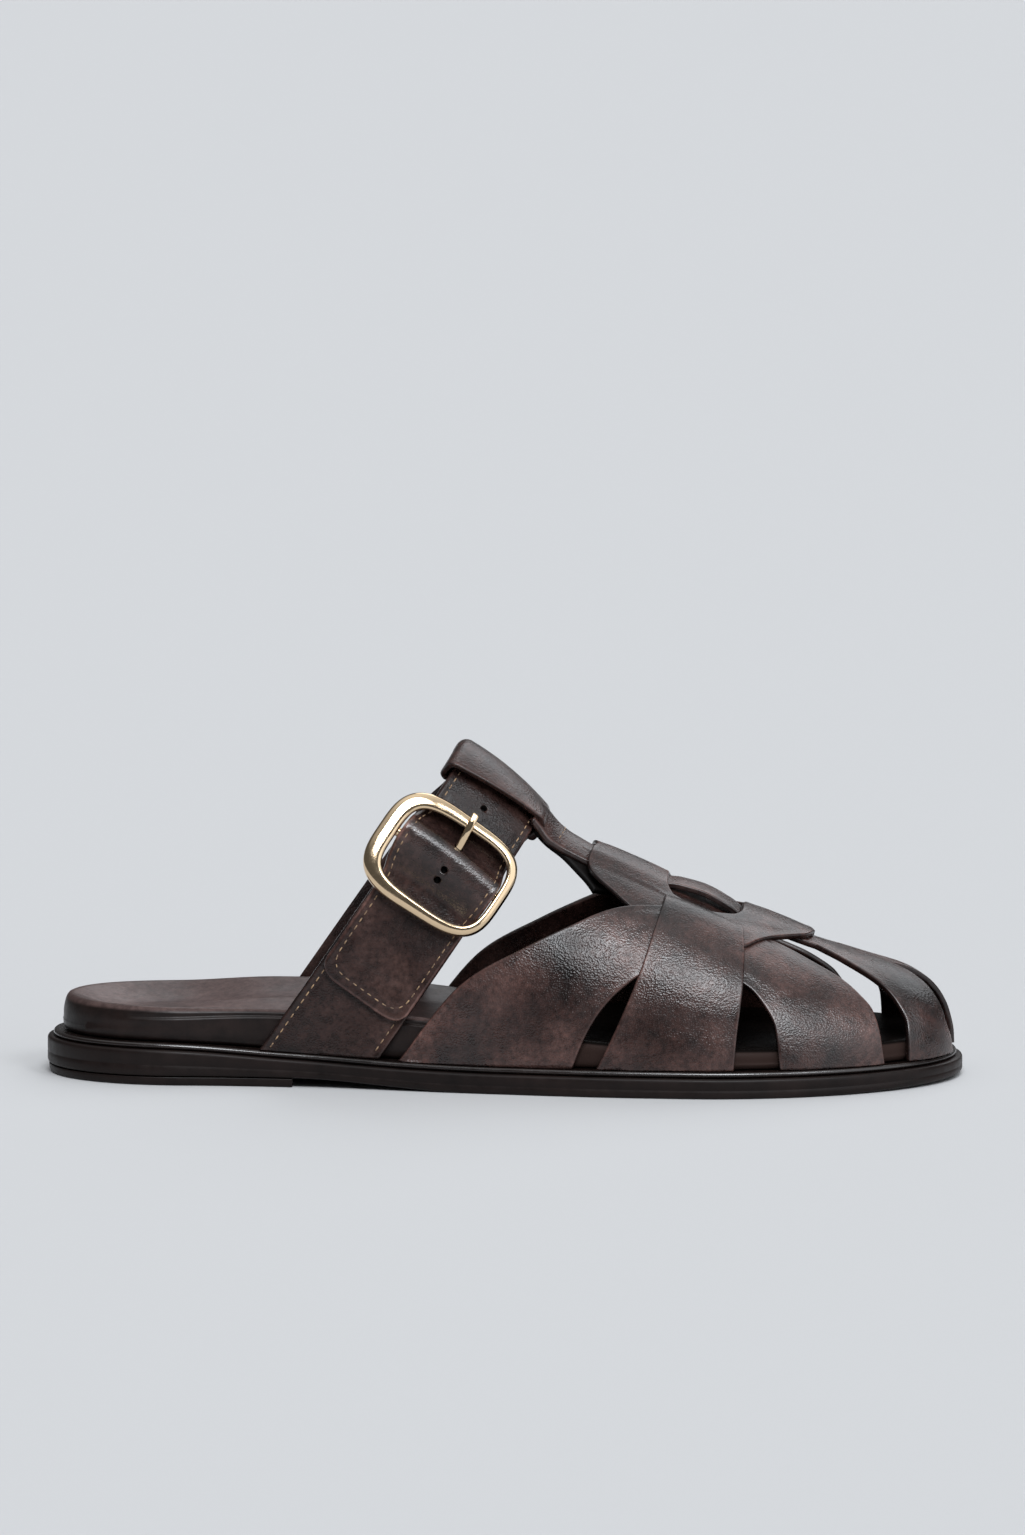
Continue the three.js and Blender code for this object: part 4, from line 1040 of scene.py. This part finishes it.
# Its rows crowd at the tip, where the edge steps are divided by tip_scale
def ankle_strap(steps=300, tip_scale=900):
    across, side = strap_columns(STRAP_WIDTH / 2)
    part = across / (STRAP_WIDTH / 2)
    near = EDGE_STEPS / tip_scale
    run = chain(near, np.linspace(near[-1], 1, steps)[1:])
    start, end = TIP_GIRTH + tip_rounding(part), arch_foot(1, across)
    girth = blend(start[None], end[None], run[:, None])
    rear, front = (column(STRAP_LIFT, edge_name, girth) for edge_name in ("rear", "front"))
    grid = stack(girth, across + np.minimum(part, 0) * rear + np.maximum(part, 0) * front)
    from_tip = arc_length(on_arch(grid, 0 * girth))
    distance = np.minimum(np.broadcast_to(side, girth.shape), from_tip)
    rise = column(STRAP_LIFT, "lift", girth)
    relief = stitch_trough(distance)
    relief += strap_wrinkles(girth, grid[..., 1]) * (1 - bump(distance, WRINKLE_REACH))
    leather_strip = strip(grid, distance, on_arch, rise, STRAP, relief, STRAP_ROUND, strap_painted_shading(girth))
    return add_mesh("ankle_strap", STRAP_LEATHER, *leather_strip)


# Short strap: it runs up from the sole and folds round the buckle's bar
def buckle_strap(site, steps=90, fold_steps=32):
    across, side = strap_columns(BASE_WIDTH / 2)
    run = np.linspace(0, 1, steps)
    girth = blend(arch_foot(-1, across)[None], BASE_END, run[:, None])
    grid = stack(girth, np.broadcast_to(across, girth.shape))
    distance = np.broadcast_to(side, girth.shape).copy()
    relief = stitch_trough(distance)
    points, faces, edge, _ = strip(grid, distance, on_arch, 0 * girth, BASE_STRAP, relief)
    turn = circle_turns(fold_steps)
    radius = FOLD_RADIUS - edge_drop(side)[:, None]
    up, out = BAR_ALONG + radius * np.cos(turn), BAR_RISE + radius * np.sin(turn)
    fold = tube(site(across[:, None] + 0 * turn, up, out))
    edge = chain(edge, np.repeat(side, len(turn)))
    return add_mesh("buckle_strap", BASE_LEATHER, *joined([(points, faces), fold]), edge)


# Buckle, in the plane that touches the strap under its centre
def buckle_site():
    def at(girth, across):
        return on_arch(np.array([girth, across]), np.array(0.0))

    origin, out, along = arch_frame(np.array(BUCKLE_GIRTH), np.array(0.0))
    reach = STRAP_WIDTH / 2
    width = at(BUCKLE_GIRTH, reach) - at(BUCKLE_GIRTH, -reach)
    width = unit(width - along * np.dot(width, along))
    out = unit(np.cross(width, along))

    def place(across, up, rise):
        sides = ((across, width), (up, along), (rise, out))
        return origin + sum(np.asarray(value)[..., None] * axis for value, axis in sides)
    return place


def rounded(turn, power):
    cosine, sine = np.cos(turn), np.sin(turn)
    return np.sign(cosine) * np.abs(cosine) ** (2 / power), np.sign(sine) * np.abs(sine) ** (2 / power)


def buckle_frame(site, fine_steps=2400, steps=160, section_steps=28, bar_steps=20):
    a, b = rounded(np.linspace(0, 2 * np.pi, fine_steps + 1), FRAME_POWER)
    path = stack(a * FRAME_ACROSS / 2, b * FRAME_ALONG / 2)
    arc = arc_length(path)
    path = curve_at(path, arc, np.linspace(0, arc[-1], steps + 1)[:-1])
    tangent = unit(np.roll(path, -1, 0) - np.roll(path, 1, 0))
    normal = stack(tangent[:, 1], -tangent[:, 0])
    wide, deep = rounded(circle_turns(section_steps), METAL_POWER)
    deep = deep - FRAME_BEVEL * wide
    width = blend(FRAME_FRONT_WIDTH, FRAME_REAR_WIDTH, (0.5 - path[:, :1] / FRAME_ACROSS) ** 2)
    across = FRAME_SHIFT + path[:, :1] + normal[:, :1] * wide * width / 2
    along = path[:, 1:] - FRAME_DROP + normal[:, 1:] * wide * width / 2
    rise = FRAME_RISE + deep[None] * FRAME_DEPTH / 2 - along * math.tan(FRAME_TILT)
    ring = tube(site(across, along, rise), circular=True)
    turn = circle_turns(bar_steps)
    ends = np.array([[-1.0], [1.0]]) * FRAME_ACROSS / 2 + FRAME_SHIFT
    up, out = BAR_ALONG + BAR_RADIUS * np.cos(turn), BAR_RISE + BAR_RADIUS * np.sin(turn)
    bar = site(ends + 0 * turn, 0 * ends + up, 0 * ends + out)
    return add_mesh("buckle_frame", GOLD, *joined([ring, tube(bar)]), sharp=60)


# Prong, or with grow the room that it needs in the strap
def prong_tube(site, grow, steps=60, section_steps=20):
    rows = np.linspace(0, len(PRONG_PATH["along"]) - 1, steps)
    order = {"row": np.arange(len(PRONG_PATH["along"]), dtype=float), **PRONG_PATH}
    along, middle, out = (column(order, name, rows) for name in PRONG_PATH)
    heading = unit(stack(np.gradient(along), np.gradient(out)))
    wide, deep = rounded(circle_turns(section_steps), METAL_POWER)
    size = np.ones(len(rows))
    size[[0, -1]] = PRONG_END
    across = middle[:, None] + size[:, None] * wide * (PRONG_HALF_WIDTH + grow)
    up = size[:, None] * deep * (PRONG_HALF_DEPTH + grow)
    return tube(site(across, along[:, None] - heading[:, 1:] * up, out[:, None] + heading[:, :1] * up))


def buckle_prong(site):
    return add_mesh("buckle_prong", GOLD, *prong_tube(site, 0), sharp=50)


# Punched holes in the instep strap, in girth and across
HOLES = table("girth across", (-0.293, -0.9), (BUCKLE_GIRTH - 0.012, -0.9), (BUCKLE_GIRTH - 0.043, -0.8))


def hole_cutter(girth, across, steps=24):
    origin, out, along = arch_frame(girth, across)
    width = np.cross(along, out)
    turn = circle_turns(steps)
    circle = HOLE_RADIUS * (np.cos(turn)[:, None] * along + np.sin(turn)[:, None] * width)
    lift = float(column(STRAP_LIFT, "lift", np.array(girth)))
    rings = np.stack([origin + out * (lift + height) + circle for height in (HOLE_FROM, HOLE_TO)])
    return tube(rings)


def punch(obj, cutters):
    # The holes' walls take the cutter's near-black leather: painted shade
    tool = add_mesh("punch", PAINTED_SHADE_LEATHER, *joined(cutters))
    cut = obj.modifiers.new("holes", "BOOLEAN")
    cut.object = tool
    cut.operation = "DIFFERENCE"
    cut.solver = "EXACT"
    cut.material_mode = "TRANSFER"
    evaluated = obj.evaluated_get(bpy.context.evaluated_depsgraph_get())
    mesh = bpy.data.meshes.new_from_object(evaluated)
    obj.modifiers.clear()
    obj.data = mesh
    bpy.data.objects.remove(tool)


# Stitches: short capsules along a line of surface coordinates, with the ends of the seams in girth
STRAP_SEAM_SHORT, TIP_SEAM_GAP = 0.01, 0.004
BASE_SEAM_SHORT, BASE_SEAM_END = 0.012, BUCKLE_GIRTH - 0.02


def even_points(curve, place, rise):
    arc = arc_length(place(curve, rise))
    count = int(arc[-1] // STITCH_PITCH)
    at = np.linspace(0, arc[-1], count + 1)
    return curve_at(curve, arc, at), np.interp(at, arc, rise)


CAPSULE = table(
    "share size sink",
    (0, 0.3, 0.3), (0.1, 0.8, 0.12), (0.35, 1, 0), (0.65, 1, 0), (0.9, 0.8, 0.12), (1, 0.3, 0.3),
)


def capsule(start, end, out, steps=8):
    axis = end - start
    side = unit(np.cross(axis, out))
    up = unit(np.cross(side, axis))
    turn = circle_turns(steps)
    circle = STITCH_RADIUS * (np.cos(turn)[:, None] * side + np.sin(turn)[:, None] * up)
    rows = rows_of(CAPSULE)
    return tube(np.stack([start + axis * share - out * sink + size * circle for share, size, sink in rows]))


def stitch_row(curve, place, rise):
    grid, height = even_points(curve, place, rise)
    low = place(grid, height)
    high = place(grid, height + 1)
    parts = []
    gap = (1 - STITCH_LENGTH / STITCH_PITCH) / 2
    for i in range(len(low) - 1):
        out = unit(high[i] - low[i])
        start, end = blend(low[i], low[i + 1], gap), blend(low[i], low[i + 1], 1 - gap)
        parts.append(capsule(start, end, out))
    return parts


def strap_stitch_line(tip_steps=61, side_steps=400):
    half = STRAP_WIDTH / 2 - STITCH_INSET
    part = np.sin(np.linspace(-np.pi / 2, np.pi / 2, tip_steps))
    tip = stack(TIP_GIRTH + STITCH_INSET / TIP_GIRTH_MM + tip_rounding(part), part * half)

    def side(sign):
        end = float(arch_foot(1, np.array(sign * half))) - STRAP_SEAM_SHORT
        girth = np.linspace(tip[-1, 0] + TIP_SEAM_GAP, end, side_steps)
        gain = column(STRAP_LIFT, "rear" if sign < 0 else "front", girth)
        return stack(girth, sign * (half + gain))
    return chain(side(-1)[::-1], tip, side(1))


def stitches(base_steps=120, neck_steps=60):
    line = strap_stitch_line()
    lift = column(STRAP_LIFT, "lift", line[:, 0]) + STRAP - STITCH_SINK
    parts = stitch_row(line, on_arch, lift)
    for sign in (-1, 1):
        across = sign * (BASE_WIDTH / 2 - STITCH_INSET)
        foot = float(arch_foot(-1, np.array(across))) + BASE_SEAM_SHORT
        girth = np.linspace(foot, BASE_SEAM_END, base_steps)
        line = stack(girth, 0 * girth + across)
        parts += stitch_row(line, on_arch, 0 * girth + BASE_STRAP - STITCH_SINK)
    y = np.linspace(-NECK_SEAM_HALF, NECK_SEAM_HALF, neck_steps)
    line = stack(0 * y + NECK_SEAM_X, y)
    parts += stitch_row(line, on_neck, 0 * y)
    return add_mesh("strap_stitches", THREAD, *joined(parts))


# Build the pieces
dress(outsole(), "sole_rubber", "outsole")
dress(heel_lift(), "sole_rubber", "heel_lift")
dress(rand(), "sole_rubber", "rand")
dress(footbed(), "footbed_leather", "footbed")
UPPER_STRAPS = (
    ("upper_front_chevron", FRONT_CHEVRON),
    ("upper_rear_chevron", REAR_CHEVRON),
    ("upper_cross_strap", CROSS_STRAP),
    ("upper_toe_fork", TOE_FORK),
)
for strap_name, strap_rows in UPPER_STRAPS:
    dress(girth_strap(strap_name, strap_rows), "upper_leather", "upper")
dress(spine(), "upper_leather", "upper")
top_layer = neck("upper_neck", "half", -LEATHER, NECK["x"][[0, -1]], UPPER_LEATHER)
dress(top_layer, "upper_leather", "upper")
under_layer = neck("upper_neck_lining", "lining", -2 * LEATHER, NECK_LINING_X, PAINTED_SHADE_LEATHER)
dress(under_layer, "upper_leather", "upper")
dress(loop(), "upper_leather", "upper")
buckle = buckle_site()
strap = ankle_strap()
punch(strap, [*(hole_cutter(*hole) for hole in rows_of(HOLES)), prong_tube(buckle, SEAT)])
dress(strap, "upper_leather", "ankle_strap")
dress(buckle_strap(buckle), "upper_leather", "buckle_strap")
dress(buckle_frame(buckle), "buckle_metal", "buckle_frame")
dress(buckle_prong(buckle), "buckle_metal", "buckle_prong")
dress(stitches(), "upper_leather")


# Floor, light and camera
FLOOR_HALF = 20000.0
SOFTBOX_COLOUR = (0.93, 0.965, 1)
SOFTBOXES = {
    # azimuth from the photo's side, elevation and spread in degrees, and strength
    "front_softbox": (5, 45, 27, 2.45),
    "side_softbox": (39, 39, 16, 0.6),
    "side_fill": (60, 20, 60, 1.0),
    "back_softbox": (158, 40, 46, 0.8),
}
SKY_COLOUR = (0.97, 0.985, 1, 1)
SKY_FROM, SKY_DIM, SKY_BRIGHT = 0.6, 0.1, 1.0


def floor():
    half = FLOOR_HALF
    points = [(-half, -half, 0), (half, -half, 0), (half, half, 0), (-half, half, 0)]
    obj = add_mesh("floor", floor_material(), points, [[0, 1, 2, 3]])
    obj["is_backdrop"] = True


def direction(azimuth, elevation):
    turn, height = math.radians(azimuth), math.radians(elevation)
    return Vector((math.sin(turn) * math.cos(height), -math.cos(turn) * math.cos(height), math.sin(height)))


def facing(name, data, back):
    obj = bpy.data.objects.new(name, data)
    bpy.context.scene.collection.objects.link(obj)
    obj.rotation_euler = back.to_track_quat("Z", "Y").to_euler()
    return obj


def softbox(name, azimuth, elevation, spread_angle, energy):
    data = bpy.data.lights.new(name, "SUN")
    data.energy = energy
    data.angle = math.radians(spread_angle)
    data.color = SOFTBOX_COLOUR
    facing(name, data, direction(azimuth, elevation))


# Sky of the studio: dim at the horizon and bright overhead
def sky():
    world = bpy.data.worlds.new("studio")
    bpy.context.scene.world = world
    world.use_nodes = True
    tree = world.node_tree
    place = tree.nodes.new("ShaderNodeTexCoord").outputs["Generated"]
    parts = new_node(tree, "ShaderNodeSeparateXYZ", {"Vector": place})
    strength = spread(tree, parts.outputs["Z"], SKY_FROM, 1, SKY_DIM, SKY_BRIGHT)
    feed(tree, tree.nodes["Background"], {"Color": SKY_COLOUR, "Strength": strength})


# Photograph's view: the shoe's origin lies at this pixel, and the camera stands far off
PHOTO_WIDTH, PHOTO_HEIGHT = 1025, 1535
ORIGIN_PIXEL = (504.5, 1072.9)
PIXEL_MM = 0.3147
VIEW_AZIMUTH, VIEW_ELEVATION = 2.0, 8.2
CAMERA_DISTANCE = 9000.0


def camera():
    back = direction(VIEW_AZIMUTH, VIEW_ELEVATION)
    turn = math.radians(VIEW_AZIMUTH)
    right = Vector((math.cos(turn), math.sin(turn), 0))
    up = back.cross(right)
    aim = right * (PHOTO_WIDTH / 2 - ORIGIN_PIXEL[0]) * PIXEL_MM
    aim += up * (ORIGIN_PIXEL[1] - PHOTO_HEIGHT / 2) * PIXEL_MM
    data = bpy.data.cameras.new("camera")
    data.sensor_width = 36
    data.lens = data.sensor_width * CAMERA_DISTANCE / (PHOTO_HEIGHT * PIXEL_MM)
    data.clip_end = 100
    obj = facing("camera", data, back)
    obj.location = (aim + back * CAMERA_DISTANCE) * MM
    bpy.context.scene.camera = obj


floor()
sky()
for softbox_name, setting in SOFTBOXES.items():
    softbox(softbox_name, *setting)
camera()
bpy.context.scene.view_settings.view_transform = "Standard"

boxes = {"cad": cad_box, "visual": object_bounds()}
{name: [list(corner) for corner in box] for name, box in boxes.items()}
